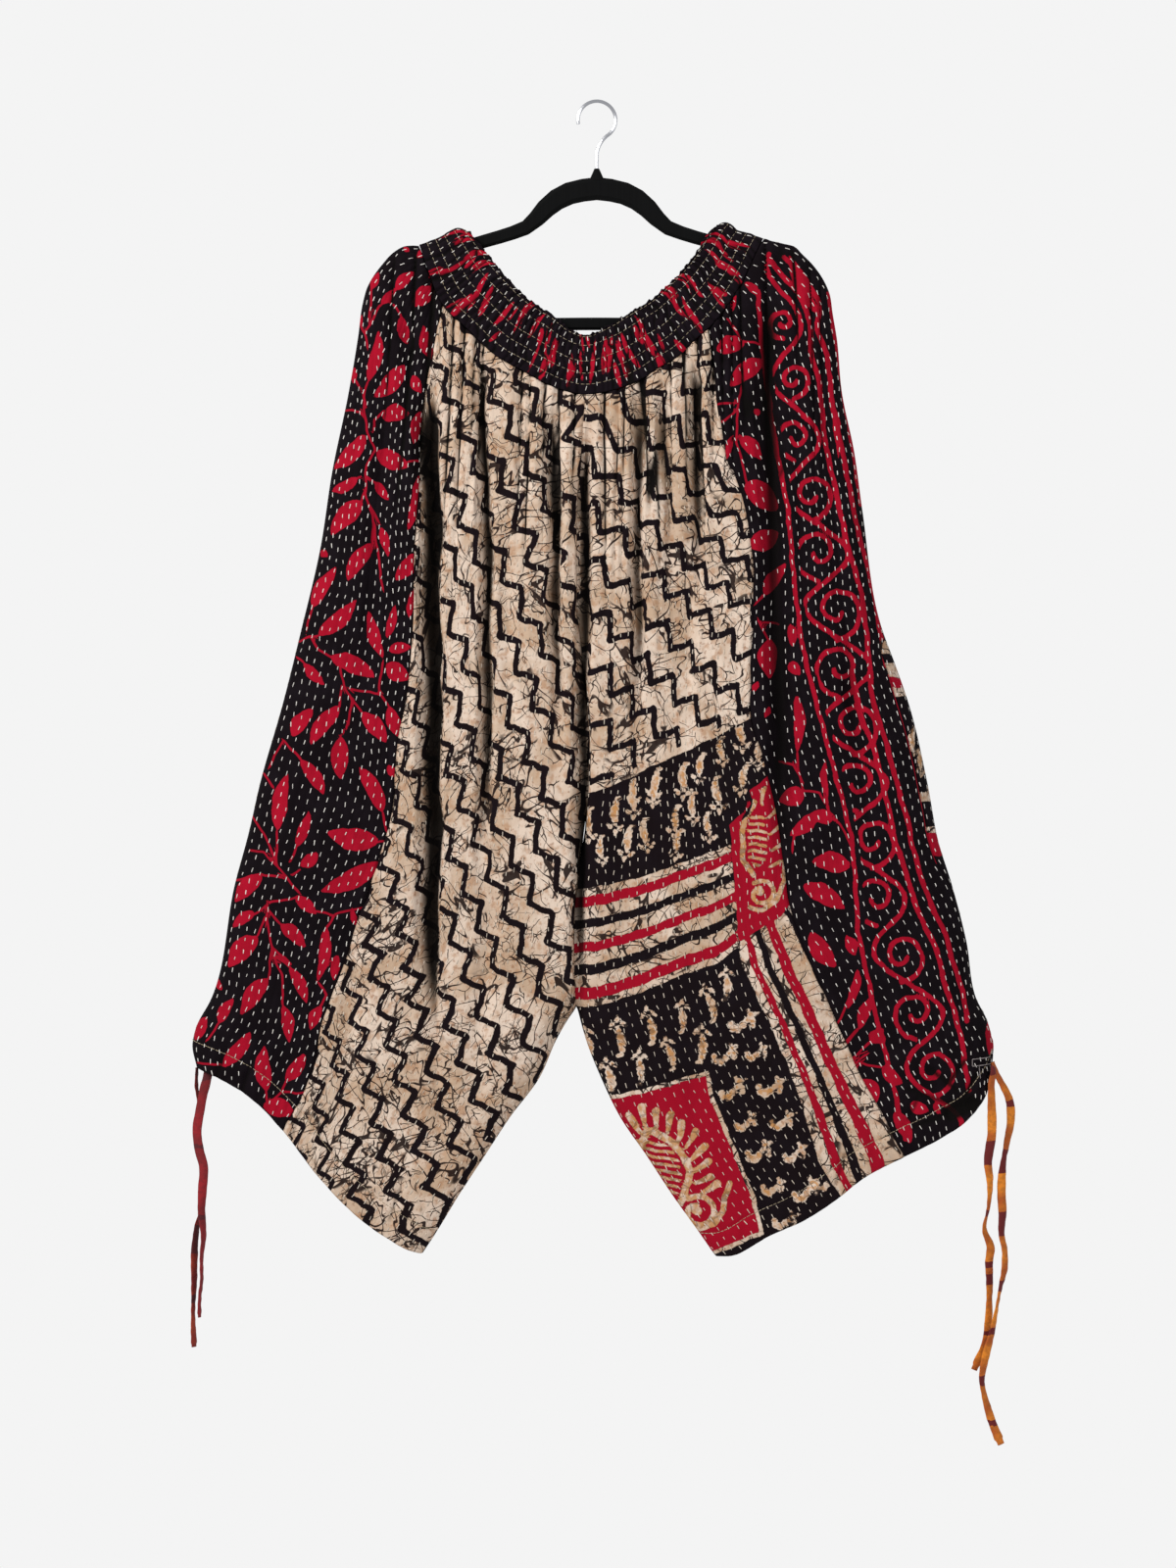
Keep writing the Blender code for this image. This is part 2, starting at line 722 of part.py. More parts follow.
def make_hanger(finish):
    """The slim hanger: arch, arms and bar in one closed loop, with a boss for the hook."""
    half = through([(row.x, row.z) for row in HANGER_HALF])
    marks = [where(half, (row.x, row.z)) for row in HANGER_HALF]
    heights = [row.half for row in HANGER_HALF]
    rings = []
    for i in range(2 * HANGER_STEPS):
        t = i / HANGER_STEPS
        mirror = 1 if t <= 1 else -1
        t = t if t <= 1 else 2 - t
        spot = half(t)
        ahead = half(min(t + 0.005, 1.0)) - half(max(t - 0.005, 0.0))
        across = Vector((ahead.y, -ahead.x)).normalized()
        if t in (0.0, 1.0):
            across = Vector((0.0, 1.0 if t == 0.0 else -1.0))
        height = float(np.interp(t, marks, heights))
        ring = []
        for a, b in HANGER_SECTION:
            point = spot + across * (height * a)
            ring.append((mirror * point.x, HANGER_HALF_DEPTH * b, point.y))
        rings.append(ring)
    hanger = swept("hanger", rings, finish, closed=True)

    bm = bmesh.new()
    rise = Vector((0.0, 0.0, (BOSS_TOP + BOSS_FOOT) / 2))
    bmesh.ops.create_cone(
        bm,
        segments=16,
        radius1=BOSS_FOOT_RADIUS,
        radius2=BOSS_TOP_RADIUS,
        depth=BOSS_TOP - BOSS_FOOT,
        cap_ends=True,
    )
    bmesh.ops.scale(bm, vec=(1.0, HANGER_HALF_DEPTH * 0.9 / BOSS_FOOT_RADIUS, 1.0), verts=bm.verts[:])
    bmesh.ops.translate(bm, vec=rise, verts=bm.verts[:])
    boss = add_mesh("hanger_boss_shape", bm, finish)
    boss.hide_render = True
    boss.display_type = "WIRE"
    union = hanger.modifiers.new("boss", "BOOLEAN")
    union.operation = "UNION"
    union.solver = "EXACT"
    union.object = boss
    return hanger


def make_hook(finish):
    """The wire hook: a stem on the boss, a bend and a round crook."""
    middle = -HOOK_RADIUS
    crook = HOOK_RADIUS + WIRE_RADIUS
    route = [(0.0, BOSS_TOP + SEAM_GAP), (0.0, -0.0560), (0.0004, -0.0475), (0.0034, -0.0400)]
    for degrees in range(-60, 206, 14):
        angle = math.radians(degrees)
        route.append((crook * math.cos(angle), middle + crook * math.sin(angle)))
    line = through(route)
    data = bpy.data.curves.new("hanger_hook", "CURVE")
    data.dimensions = "3D"
    spline = data.splines.new("POLY")
    steps = 44
    spline.points.add(steps)
    for i, point in enumerate(spline.points):
        spot = line(i / steps)
        point.co = (spot.x, 0.0, spot.y, 1.0)
    data.bevel_depth = WIRE_RADIUS
    data.bevel_resolution = 2
    data.use_fill_caps = True
    return add_object("hanger_hook", data, finish)


# The garment


def side_lines(rows, shoulder, outward):
    """A fold edge, and its two lines: down the waistband to the shoulder, and on down the side panel."""
    line = through([(row.x, row.z) for row in rows])
    marks = [where(line, (row.x, row.z)) for row in rows]
    turn_edge = TurnEdge(line, [(mark, row.turn) for mark, row in zip(marks, rows)], outward)
    return turn_edge, stretch(line, 0.0, marks[shoulder]), stretch(line, marks[shoulder], 1.0)


def lip_reach(place):
    """How much of each row of the right side's patch the back's panel covers from the fold edge."""

    def share(v):
        edge = place(0.0, v)
        return read_table(SIDE_LIP, -edge.y) / (place(1.0, v) - edge).length

    return share


def make_trousers():
    zigzag = material("batik_zigzag_cotton", (0.72, 0.58, 0.42), 0.85)
    leaf = material("dark_leaf_cotton", (0.05, 0.01, 0.015), 0.85)
    band = material("gathered_band_cotton", (0.10, 0.01, 0.02), 0.85)

    left_turn, left_loop, left_side = side_lines(LEFT_EDGE, LEFT_SHOULDER, 1)
    right_turn, right_loop, right_side = side_lines(RIGHT_EDGE, RIGHT_SHOULDER, -1)
    side_edges = (left_turn, right_turn)
    centre, left_inseam, right_inseam = through(CENTRE_SEAM), through(LEFT_INSEAM), through(RIGHT_INSEAM)
    crotch = joined(stretch(left_inseam, 1.0, 0.0), right_inseam)
    edges = (*side_edges, TurnEdge(crotch, [(0.0, INSEAM_TURN), (1.0, INSEAM_TURN)], 1))
    seams = (
        through(LEFT_SEAM),
        joined(centre, left_inseam),
        through(RIGHT_SEAM),
        joined(centre, right_inseam),
    )
    left_hem, right_hem = through(LEFT_HEM), through(RIGHT_HEM)
    left_part, right_part = where(left_hem, LEFT_SEAM[-1]), where(right_hem, RIGHT_SEAM[-1])

    left_sides, right_sides = {}, {}
    for side in (FRONT, BACK):
        word = "front" if side == FRONT else "back"
        columns = FRONT_COLUMNS if side == FRONT else BACK_COLUMNS
        folds = FRONT_FOLDS if side == FRONT else BACK_FOLDS
        drop = 0.0 if side == FRONT else BACK_DROP
        top, foot = lowered(through(WAIST_TOP), drop), lowered(through(WAIST_FOOT), drop)
        left, middle, right = [where(foot, row[0]) for row in (LEFT_SEAM, CENTRE_SEAM, RIGHT_SEAM)]
        left_seam, left_inner, right_seam, right_inner = [
            started_at(line, foot(at)) for line, at in zip(seams, (left, middle, right, middle))
        ]
        for name, waist, hem, first, last in (
            ("left_", (left, middle), stretch(left_hem, left_part, 1.0), left_seam, left_inner),
            ("right_", (right, middle), stretch(right_hem, right_part, 1.0), right_seam, right_inner),
        ):
            place = patch(stretch(foot, *waist), hem, first, last)
            shares = lambda v: even(columns)
            flat_panel(name + word + "_panel", place, shares, ROWS, side, edges, folds, zigzag)
        left_sides[side] = patch(
            stretch(foot, 0.0, left), stretch(left_hem, 0.0, left_part), left_side, left_seam
        )
        right_sides[side] = patch(
            stretch(foot, 1.0, right), stretch(right_hem, 0.0, right_part), right_side, right_seam
        )

        # The waistband's columns meet those of the panels below it.
        if side == FRONT:
            reach = lip_reach(right_sides[FRONT])
            lip = [reach(0.0) * (i / LIP_COLUMNS) ** ROW_EASE for i in range(LIP_COLUMNS)]
            right_shares = lip + eased(reach(0.0), SIDE_COLUMNS)
        else:
            right_shares = eased(0.0, SIDE_COLUMNS)
        marks = [left * share for share in eased(0.0, SIDE_COLUMNS)]
        marks += [left + (middle - left) * share for share in even(columns)[1:]]
        marks += [middle + (right - middle) * share for share in even(columns)[1:-1]]
        marks += [1 + (right - 1) * share for share in right_shares[::-1]]
        place = patch(top, foot, left_loop, right_loop)
        shares = lambda v: marks
        flat_panel("waistband_" + word, place, shares, BAND_ROWS, side, side_edges, folds, band, BAND)

    columns = (SIDE_COLUMNS, SIDE_COLUMNS)
    wrapped_panel("left_side_panel", left_sides, columns, ROWS, lambda v: 1.0, edges, leaf)
    columns = (LIP_COLUMNS, SIDE_COLUMNS)
    wrapped_panel("right_back_side_panel", right_sides, columns, ROWS, reach, edges, leaf)
    shares = lambda v: eased(reach(v), SIDE_COLUMNS)
    flat_panel("right_side_panel", right_sides[FRONT], shares, ROWS, FRONT, edges, FRONT_FOLDS, leaf)


def main():
    clear_scene()
    make_trousers()
    plastic = material("black_flocked_plastic", (0.01, 0.01, 0.011), 0.7)
    steel = material("bright_steel", (0.6, 0.6, 0.62), 0.25, 1.0)
    make_hanger(plastic)
    make_hook(steel)
    red_tape = material("red_cotton_tape", (0.25, 0.015, 0.015), 0.8)
    orange_tape = material("orange_cotton_tape", (0.70, 0.22, 0.02), 0.8)
    make_tape("left_drawstring_end_a", LEFT_TAPE_A, red_tape)
    make_tape("left_drawstring_end_b", LEFT_TAPE_B, red_tape)
    make_tape("right_drawstring_end_a", RIGHT_TAPE_A, orange_tape)
    make_tape("right_drawstring_end_b", RIGHT_TAPE_B, orange_tape)


main()
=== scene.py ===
"""Balloon trousers of patchwork cotton with rows of white running stitch, hung on a clothes hanger.

Metres, +Z up, front towards -Y, origin at the inside top of the hanger's hook. Each cloth panel is a grid
laid between the same four edge lines as its CAD solid, carried out to the hung depth and creased. The
prints are drawn as distances to lines and leaves, kept on the grid's points. Tables of lines, creases and
motifs are in millimetres across and up from the origin.
"""

import math
from collections import namedtuple

import bmesh
import bpy
import numpy as np
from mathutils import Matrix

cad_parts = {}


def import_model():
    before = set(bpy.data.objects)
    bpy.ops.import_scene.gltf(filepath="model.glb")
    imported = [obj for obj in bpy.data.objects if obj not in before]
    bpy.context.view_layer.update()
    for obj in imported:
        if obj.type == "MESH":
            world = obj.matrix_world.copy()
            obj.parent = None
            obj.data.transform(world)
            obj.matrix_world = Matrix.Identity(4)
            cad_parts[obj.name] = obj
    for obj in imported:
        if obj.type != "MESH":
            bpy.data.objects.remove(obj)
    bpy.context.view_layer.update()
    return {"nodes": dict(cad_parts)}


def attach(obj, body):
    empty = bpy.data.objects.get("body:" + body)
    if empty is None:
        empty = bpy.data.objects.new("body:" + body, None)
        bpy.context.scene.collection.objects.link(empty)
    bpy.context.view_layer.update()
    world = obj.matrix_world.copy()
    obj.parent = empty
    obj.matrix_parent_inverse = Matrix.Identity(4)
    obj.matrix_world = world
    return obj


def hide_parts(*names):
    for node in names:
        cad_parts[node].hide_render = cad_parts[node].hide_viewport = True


FRONT, BACK = -1, 1

# Sizes of the garment, in metres
CLOTH = 0.0013  # what shows of the two quilted layers
BAND_CLOTH = 0.00132
BAND_GAP = 0.0003
SEAM_LAP = 0.0007
LEAST_DEPTH = 0.0030  # what a crease leaves of the hung depth
BACK_DROP = 0.006
INSEAM_TURN = 0.032
HEM_CASING = 0.027
EDGE_SLACK = 0.0004
FOLD_START, FOLD_END = 0.075, 0.200  # how far a crease takes to open at its top and its foot
GATHER_PITCH, GATHER_HEIGHT, GATHER_REACH = 0.0165, 0.0066, 0.30  # small folds below the waistband
SHIRR_PITCH, SHIRR_HEIGHT = 0.0083, 0.0026  # gathers of the waistband
TUCK_DEPTH = 0.0045
TAPE_WIDTH, TAPE_THICKNESS, TAPE_STEP = 0.0086, 0.0009, 0.0022

SEAM_START = 0.0006  # the share of its length left out at a panel's top
SAMPLES = 1201  # places kept along a line
TURN_SAMPLES = 241
FOLD_HIDES = 0.42  # how deep a fold, as a share of the hung depth, still shows its stitches
FAR = 60.0  # a print's edge at this distance or more has no effect, in millimetres
PRINTS = ("cream", "red", "ochre", "stem", "stem_side")  # the distances that a print is made of
SIDE_EASE = 1.25  # crowds a side panel's columns towards its fold edge
LEFT_SHOULDER = RIGHT_SHOULDER = 6  # the fold edge's row at which the waistband ends
SHIRRING = (0.115, 0.30, 0.50, 0.68, 0.85)  # rows of thread, as shares of the waistband's height

Place = namedtuple("Place", "x z")
Edge = namedtuple("Edge", "x z turn")
Lip = namedtuple("Lip", "drop reach")
Depth = namedtuple("Depth", "drop half")
Crease = namedtuple("Crease", "top foot x_top x_mid x_foot left right depth steep")
Tuck = namedtuple("Tuck", "x_top z_top x_foot z_foot width share")
Tape = namedtuple("Tape", "x y z turn")
Stitches = namedtuple("Stitches", "middles along normals sizes")
Panel = namedtuple("Panel", "obj face normal fold up stitch_rows slot")
Motif = namedtuple("Motif", "square inset rim coil scale spine petals tail bars")


def in_metres(kind, rows, kept=0):
    """Named rows in metres from rows in millimetres. The last kept columns aren't lengths, and stay."""
    lengths = len(kind._fields) - kept
    return tuple(kind(*[v / 1000 for v in row[:lengths]], *row[lengths:]) for row in rows)


# The fold edges, where the cloth turns from front to back, and how far in from them the turn reaches
LEFT_EDGE = in_metres(Edge, (
    (-126, -126, 14), (-132, -123, 14), (-139, -123, 14), (-145, -126, 15), (-153, -131, 16),
    (-163, -135, 18), (-174, -139, 20), (-190, -141, 24), (-201, -148, 28), (-210, -158, 30),
    (-219, -170, 30), (-225, -181, 32), (-229, -195, 34), (-234, -230, 38), (-243, -283, 42),
    (-259, -360, 45), (-271, -437, 45), (-289, -514, 45), (-308, -590, 45), (-330, -667, 45),
    (-341, -715, 45), (-354, -763, 45), (-378, -878, 40), (-393, -907, 36), (-396, -922, 34),
    (-392, -944, 32),
))
RIGHT_EDGE = in_metres(Edge, (
    (116, -123, 14), (121, -118, 14), (127, -117, 14), (132, -119, 14), (137, -124, 15), (150, -128, 18),
    (163, -133, 20), (183, -138, 24), (194, -141, 26), (201, -148, 28), (211, -158, 30), (220, -170, 30),
    (228, -187, 32), (231, -206, 34), (235, -230, 38), (240, -283, 42), (252, -341, 45), (260, -398, 45),
    (279, -514, 45), (293, -552, 45), (306, -590, 45), (324, -667, 45), (335, -725, 45), (347, -763, 45),
    (362, -821, 42), (372, -878, 38), (382, -898, 34), (387, -917, 32), (386, -948, 30),
))
# The inseams, from the crotch down
LEFT_INSEAM = in_metres(Place, (
    (-20, -888), (-27, -898), (-38, -917), (-55, -955), (-84, -994), (-109, -1032), (-134, -1070),
    (-158, -1109), (-170, -1127),
))
RIGHT_INSEAM = in_metres(Place, (
    (-20, -888), (-12, -917), (3, -955), (22, -994), (48, -1032), (73, -1070), (101, -1109), (115, -1129),
))
# Waistband, from the loop over the left arm of the hanger to the loop over the right arm
WAIST_TOP = in_metres(Place, (
    (-126, -126), (-113, -142), (-86, -175), (-66, -195), (-39, -213), (-26, -224), (-11, -230), (9, -222),
    (30, -209), (53, -195), (71, -179), (87, -162), (99, -146), (106, -134), (116, -123),
))
WAIST_FOOT = in_metres(Place, (
    (-174, -139), (-164, -168), (-151, -199), (-126, -224), (-97, -251), (-72, -265), (-48, -278),
    (-11, -288), (11, -285), (42, -274), (60, -262), (79, -251), (95, -235), (108, -224), (131, -195),
    (145, -171), (156, -147), (163, -133),
))
# Seams, from the waistband down
LEFT_SEAM = in_metres(Place, (
    (-151, -199), (-158, -241), (-166, -283), (-171, -350), (-178, -475), (-181, -552), (-192, -619),
    (-203, -712), (-224, -776), (-247, -845), (-266, -897), (-277, -946), (-291, -979), (-306, -1005),
))
CENTRE_SEAM = in_metres(Place, (
    (-11, -288), (-16, -350), (-18, -475), (-12, -571), (-9, -667), (-14, -725), (-18, -763), (-21, -821),
    (-20, -888),
))
RIGHT_SEAM = in_metres(Place, (
    (108, -224), (113, -257), (119, -309), (126, -349), (138, -376), (150, -432), (152, -494), (149, -562),
    (151, -605), (162, -643), (174, -686), (181, -734), (186, -783), (203, -830), (224, -877), (241, -917),
    (259, -954), (279, -989), (299, -1031),
))
# Hems, each from its outer corner to the low tip at the inseam
LEFT_HEM = in_metres(Place, (
    (-392, -944), (-366, -955), (-336, -974), (-306, -1005), (-271, -1051), (-233, -1090), (-204, -1111),
    (-183, -1123), (-170, -1127),
))
RIGHT_HEM = in_metres(Place, (
    (386, -948), (378, -972), (362, -994), (334, -1013), (299, -1031), (261, -1051), (237, -1070),
    (204, -1092), (167, -1109), (131, -1128), (115, -1129),
))
# How far the back's side panel reaches round to the front at the right side
SIDE_LIP = in_metres(Lip, (
    (512, 1), (528, 12.5), (570, 15), (700, 15), (735, 11), (765, 4), (800, 1),
))
# Half of the hung garment's depth away from its fold edges
DEPTHS = in_metres(Depth, (
    (115, 9.5), (150, 11.5), (190, 15), (240, 19), (300, 23), (450, 27), (750, 28), (900, 25), (1000, 19),
    (1130, 12),
))
# Creases: their x at the top, middle and foot, their reach to each side, and how steep their walls are (1 is
# a soft wave, less is steeper)
FRONT_CREASES = in_metres(Crease, (
    (262, 960, -160, -153.9, -160.6, 23, 4.5, 21, 0.68), (186, 330, -190, -181, -178, 12, 6, 9.5, 0.7),
    (230, 820, -112, -104.5, -113, 12, 5, 15, 0.6), (270, 440, -76, -71, -66, 10, 10, 6, 0.8),
    (270, 690, -43, -39, -36, 10, 5, 14.5, 0.6), (300, 970, -9, -12, -17, 13, 6, 15.5, 0.7),
    (280, 440, 12, 18, 22, 9, 9, 5.5, 1), (265, 690, 43, 41, 43, 11, 5, 13, 0.6),
    (255, 520, 67, 69, 76, 10, 5, 12.5, 0.6), (220, 380, 113, 115, 121, 8, 5, 10, 0.7),
    (225, 560, 90, 99, 94, 10, 5, 14, 0.6), (170, 830, 166, 175, 189, 17, 14, 13.5, 0.85),
    (230, 760, 219, 241, 270, 16, 12, 5.5, 1), (220, 680, -206, -214, -238, 16, 16, 4.5, 1),
    (720, 1070, -98, -112, -134, 18, 14, 4.5, 1), (760, 1040, -226, -240, -252, 18, 18, 4.5, 1),
    (860, 1080, 86, 96, 108, 18, 18, 3.5, 1), (840, 1020, 214, 236, 258, 16, 16, 5, 1),
    (380, 680, -87, -84, -79, 20, 6, 4.5, 0.9), (400, 700, 86, 90, 93, 38, 7, 6.5, 0.9),
    (780, 1120, -162, -153, -152, 13, 6, 4, 0.8), (840, 1020, -187, -181, -184, 12, 10, 3, 1),
    (420, 760, -207, -203, -206, 4, 4, 1.2, 1), (500, 760, 244, 256, 284, 12, 5, 4.5, 0.7),
    (690, 930, 20, 30, 26, 20, 16, 3, 1), (830, 1020, 300, 322, 338, 18, 14, 3.5, 1),
    (900, 1060, -300, -318, -326, 18, 14, 3, 1), (300, 560, 196, 200, 214, 10, 8, 3.5, 1),
    (250, 470, -236, -246, -262, 12, 12, 3, 1), (560, 900, -300, -322, -350, 20, 16, 3.5, 1),
), kept=1)
BACK_CREASES = in_metres(Crease, (
    (200, 860, -166, -160, -178, 18, 20, 17, 0.8), (240, 700, -118, -108, -120, 14, 14, 9, 1),
    (280, 520, -58, -54, -50, 11, 11, 7, 1), (290, 860, -12, -12, -18, 12, 12, 11, 0.8),
    (275, 560, 34, 38, 44, 11, 11, 7, 1), (250, 720, 86, 92, 98, 13, 13, 9, 1),
    (200, 820, 146, 160, 186, 18, 18, 17, 0.8), (560, 1000, -236, -256, -276, 18, 18, 6, 1),
    (560, 980, 242, 262, 286, 18, 18, 6, 1), (820, 1080, -116, -128, -146, 18, 18, 4.5, 1),
    (840, 1080, 94, 112, 132, 18, 18, 4.5, 1), (340, 700, 200, 214, 240, 16, 12, 5, 1),
    (330, 640, -206, -222, -246, 14, 14, 4.5, 1),
), kept=1)
CREASES = {FRONT: FRONT_CREASES, BACK: BACK_CREASES}
# Pulls near the hems, where the drawstring bunches the casing, and how deep they are, which also sets their
# painted shade
TUCKS = in_metres(Tuck, (
    (336, -992, 374, -974, 8.5, 0.95), (296, -962, 350, -981, 3.5, 0.5), (318, -940, 358, -971, 3.5, 0.55),
    (300, -1004, 345, -988, 4, 0.5), (340, -962, 362, -932, 3.5, 0.55), (300, -1000, 318, -962, 3.5, 0.45),
    (352, -985, 372, -945, 3, 0.6), (-378, -972, -362, -930, 3, 0.5), (-352, -982, -330, -925, 3, 0.45),
    (-300, -1020, -285, -975, 3.5, 0.35), (-205, -1100, -190, -1055, 3.5, 0.4),
    (230, -1065, 244, -1020, 3.5, 0.4),
), kept=1)
# Drawstring ends: place, and how far the flat tape is turned from facing the front, in degrees
LEFT_TAPE_A = in_metres(Tape, (
    (-392.2, 1.8, -944.3, 86), (-393, 5, -962, 80), (-391, 7.5, -981, 80), (-392, 8, -996, 75),
    (-389, 8, -1025, 70), (-386, 8, -1063, 75), (-388, 8, -1085, 80), (-392, 7, -1099, 75),
    (-394, 5, -1114, 60), (-395, 4, -1134, 50), (-395, 4, -1153, 60), (-396, 3, -1188, 75),
    (-395, 3, -1219, 55),
), kept=1)
LEFT_TAPE_B = in_metres(Tape, (
    (-379, -10.4, -946.5, 6), (-381, -10, -956, 8), (-384, -8.8, -967, 10), (-388, -7, -987, 5),
    (-391, -5, -1006, 0), (-389, -4, -1025, 0), (-385, -3, -1041, 0), (-386, -3, -1063, 15),
    (-387, -3.5, -1085, 60), (-385, -3, -1109, 78), (-387, -3, -1131, 80), (-387, -3, -1153, 80),
    (-389, -3, -1172, 80), (-389, -3, -1189, 75),
), kept=1)
RIGHT_TAPE_A = in_metres(Tape, (
    (387, -11.2, -943.7, 60), (386.2, -16, -950, 40), (384.2, -20, -957, 12), (383.8, -20.8, -968, 0),
    (384.2, -19.6, -980, 0), (385, -15, -1008, 10), (382, -9, -1039, 60), (384, -8, -1055, 70),
    (383, -7, -1078, 20), (379, -6, -1104, 35), (385, -4, -1120, 40), (384, -1, -1135, 45),
    (385, 3, -1155, 35), (385, 5, -1172, 25), (384, 5.5, -1196, 20), (381, 5.5, -1218, 20),
    (374, 5.5, -1233, 15), (370, 5.5, -1242, 15),
), kept=1)
RIGHT_TAPE_B = in_metres(Tape, (
    (387.2, -1.5, -939.4, 62), (390.5, -2, -949, 38), (397, -4, -962, 24), (403, -5, -975, 20),
    (405, -4, -994, 30), (401, -3, -1019, 50), (397, -2, -1044, 10), (396, -2, -1067, 20),
    (397, -2, -1088, 45), (396, -2, -1107, 50), (399, -2, -1123, 40), (399, -3, -1140, 60),
    (394, -4, -1163, 70), (391, -5, -1179, 60), (386, -5, -1205, 40), (381, -4, -1224, 25),
    (377, -2, -1253, 55), (381, 0, -1272, 35), (387, 0, -1292, 20), (396, 0, -1314, 5),
), kept=1)
# How far below the origin each tape's dark bands start and end, in metres
LEFT_BANDS_A = (0.930, 0.952, 1.10, 1.128, 1.168, 1.176)
LEFT_BANDS_B = (0.940, 0.957, 1.020, 1.024, 1.088, 1.094)
RIGHT_BANDS_A = (0.930, 0.951, 1.015, 1.039, 1.083, 1.090, 1.134, 1.141, 1.147, 1.158, 1.203, 1.209)
RIGHT_BANDS_B = (
    0.9765, 0.983, 1.0246, 1.048, 1.086, 1.1096, 1.152, 1.164, 1.199, 1.206, 1.246, 1.256, 1.290, 1.296,
)


# Lines and directions


def unit(vectors):
    """The vectors at a length of one."""
    return vectors / np.maximum(np.linalg.norm(vectors, axis=-1, keepdims=True), 1e-9)


def run_of(points, axis=0):
    """How far each point of a line or grid lies from the first, along one of its axes."""
    steps = np.linalg.norm(np.diff(points, axis=axis), axis=-1)
    return np.insert(np.cumsum(steps, axis=axis), 0, 0.0, axis=axis)


def read(line, marks, places):
    """A line's values at places between its marks."""
    return np.stack([np.interp(places, marks, column) for column in line.T], axis=-1)


def at(line, t):
    """A line's values at these fractions of it."""
    return read(line, np.linspace(0.0, 1.0, len(line)), t)


def stretch(line, start=0.0, end=1.0, count=SAMPLES):
    """The part of a line between two fractions of it."""
    return at(line, np.linspace(start, end, count))


def through(points):
    """A smooth line through the points."""
    places = np.array(points, float)
    marks = run_of(places)
    gaps = np.diff(marks)
    slopes = np.diff(places, axis=0) / gaps[:, None]
    share = (gaps[:-1] / (gaps[:-1] + gaps[1:]))[:, None]
    bends = np.vstack([slopes[:1], slopes[:-1] * (1 - share) + slopes[1:] * share, slopes[-1:]])
    t = np.linspace(0.0, marks[-1], SAMPLES)
    i = np.clip(np.searchsorted(marks, t, side="right") - 1, 0, len(gaps) - 1)
    f = ((t - marks[i]) / gaps[i])[:, None]
    start = places[i] * (2 * f**3 - 3 * f**2 + 1) + places[i + 1] * (3 * f**2 - 2 * f**3)
    turn = bends[i] * (f**3 - 2 * f**2 + f) + bends[i + 1] * (f**3 - f**2)
    return start + turn * gaps[i][:, None]


def joined(first, second):
    """Two lines as one."""
    lengths = run_of(first)[-1], run_of(second)[-1]
    share = lengths[0] / sum(lengths)
    t = np.linspace(0.0, 1.0, SAMPLES)
    return np.where((t < share)[:, None], at(first, t / share), at(second, (t - share) / (1 - share)))


def nearest(line, places):
    """For each place, the piece of a line nearest to it, how far along that piece, and how far away."""
    starts, spans = line[:-1], np.diff(line, axis=0)
    away = places[:, None] - starts
    share = np.clip((away * spans).sum(2) / (spans * spans).sum(1), 0.0, 1.0)
    gaps = np.linalg.norm(away - spans * share[..., None], axis=2)
    i = gaps.argmin(1)
    rows = np.arange(len(i))
    return i, share[rows, i], gaps[rows, i]


def where(line, place):
    """The fraction at which a line passes nearest to a place."""
    i, share, _ = nearest(line, np.array([place]))
    return (i[0] + share[0]) / (len(line) - 1)


def started_at(line, place):
    """The line with its start moved to a place."""
    t = np.linspace(0.0, 1.0, len(line))[:, None]
    return line + (place - line[0]) * (1 - t) ** 4


def lowered(line, amount):
    """The line hung lower, most at its middle."""
    t = np.linspace(0.0, 1.0, len(line))
    return line - np.stack([0 * t, amount * np.sin(math.pi * t)], axis=1)


def patch(top, foot, first, last):
    """Places inside four edge lines: u runs from the first side line to the last, and v down."""

    def place(u, v):
        a, b = v[..., None], u[..., None]
        across = at(top, u) * (1 - a) + at(foot, u) * a
        down = at(first, v) * (1 - b) + at(last, v) * b
        above = top[0] * (1 - b) + top[-1] * b
        below = foot[0] * (1 - b) + foot[-1] * b
        return across + down - above * (1 - a) - below * a

    return place


def wander(x, seed, span):
    """An uneven wave between -1 and 1, of about this wavelength."""
    random = np.random.RandomState(seed)
    total = 0.0
    for rate in (1.0, 1.7, 2.9):
        turns = x / span * rate * random.uniform(0.85, 1.15)
        total = total + np.sin(2 * math.pi * turns + random.uniform(0, 6.3)) / rate
    return total / 1.9


def smooth(low, high, x):
    """Runs softly from 0 to 1 while x runs from low to high."""
    t = np.clip((x - low) / (high - low), 0.0, 1.0)
    return t * t * (3 - 2 * t)


# The hung form


def turn_rise(place, edges):
    """How far out from the garment's middle the cloth stands over each place, as a share of its depth."""
    flat = place.reshape(-1, 2)
    rise = np.ones(len(flat))
    for line, turns in edges:
        for k in range(0, len(flat), 4000):
            i, share, gap = nearest(line, flat[k : k + 4000])
            turn = turns[i] * (1 - share) + turns[i + 1] * share
            level = 1 - np.minimum(np.maximum(gap - EDGE_SLACK, 0.0) / turn, 1.0)
            rise[k : k + 4000] *= np.sqrt(np.maximum(1 - level * level, 0.0))
    return rise.reshape(place.shape[:-1])


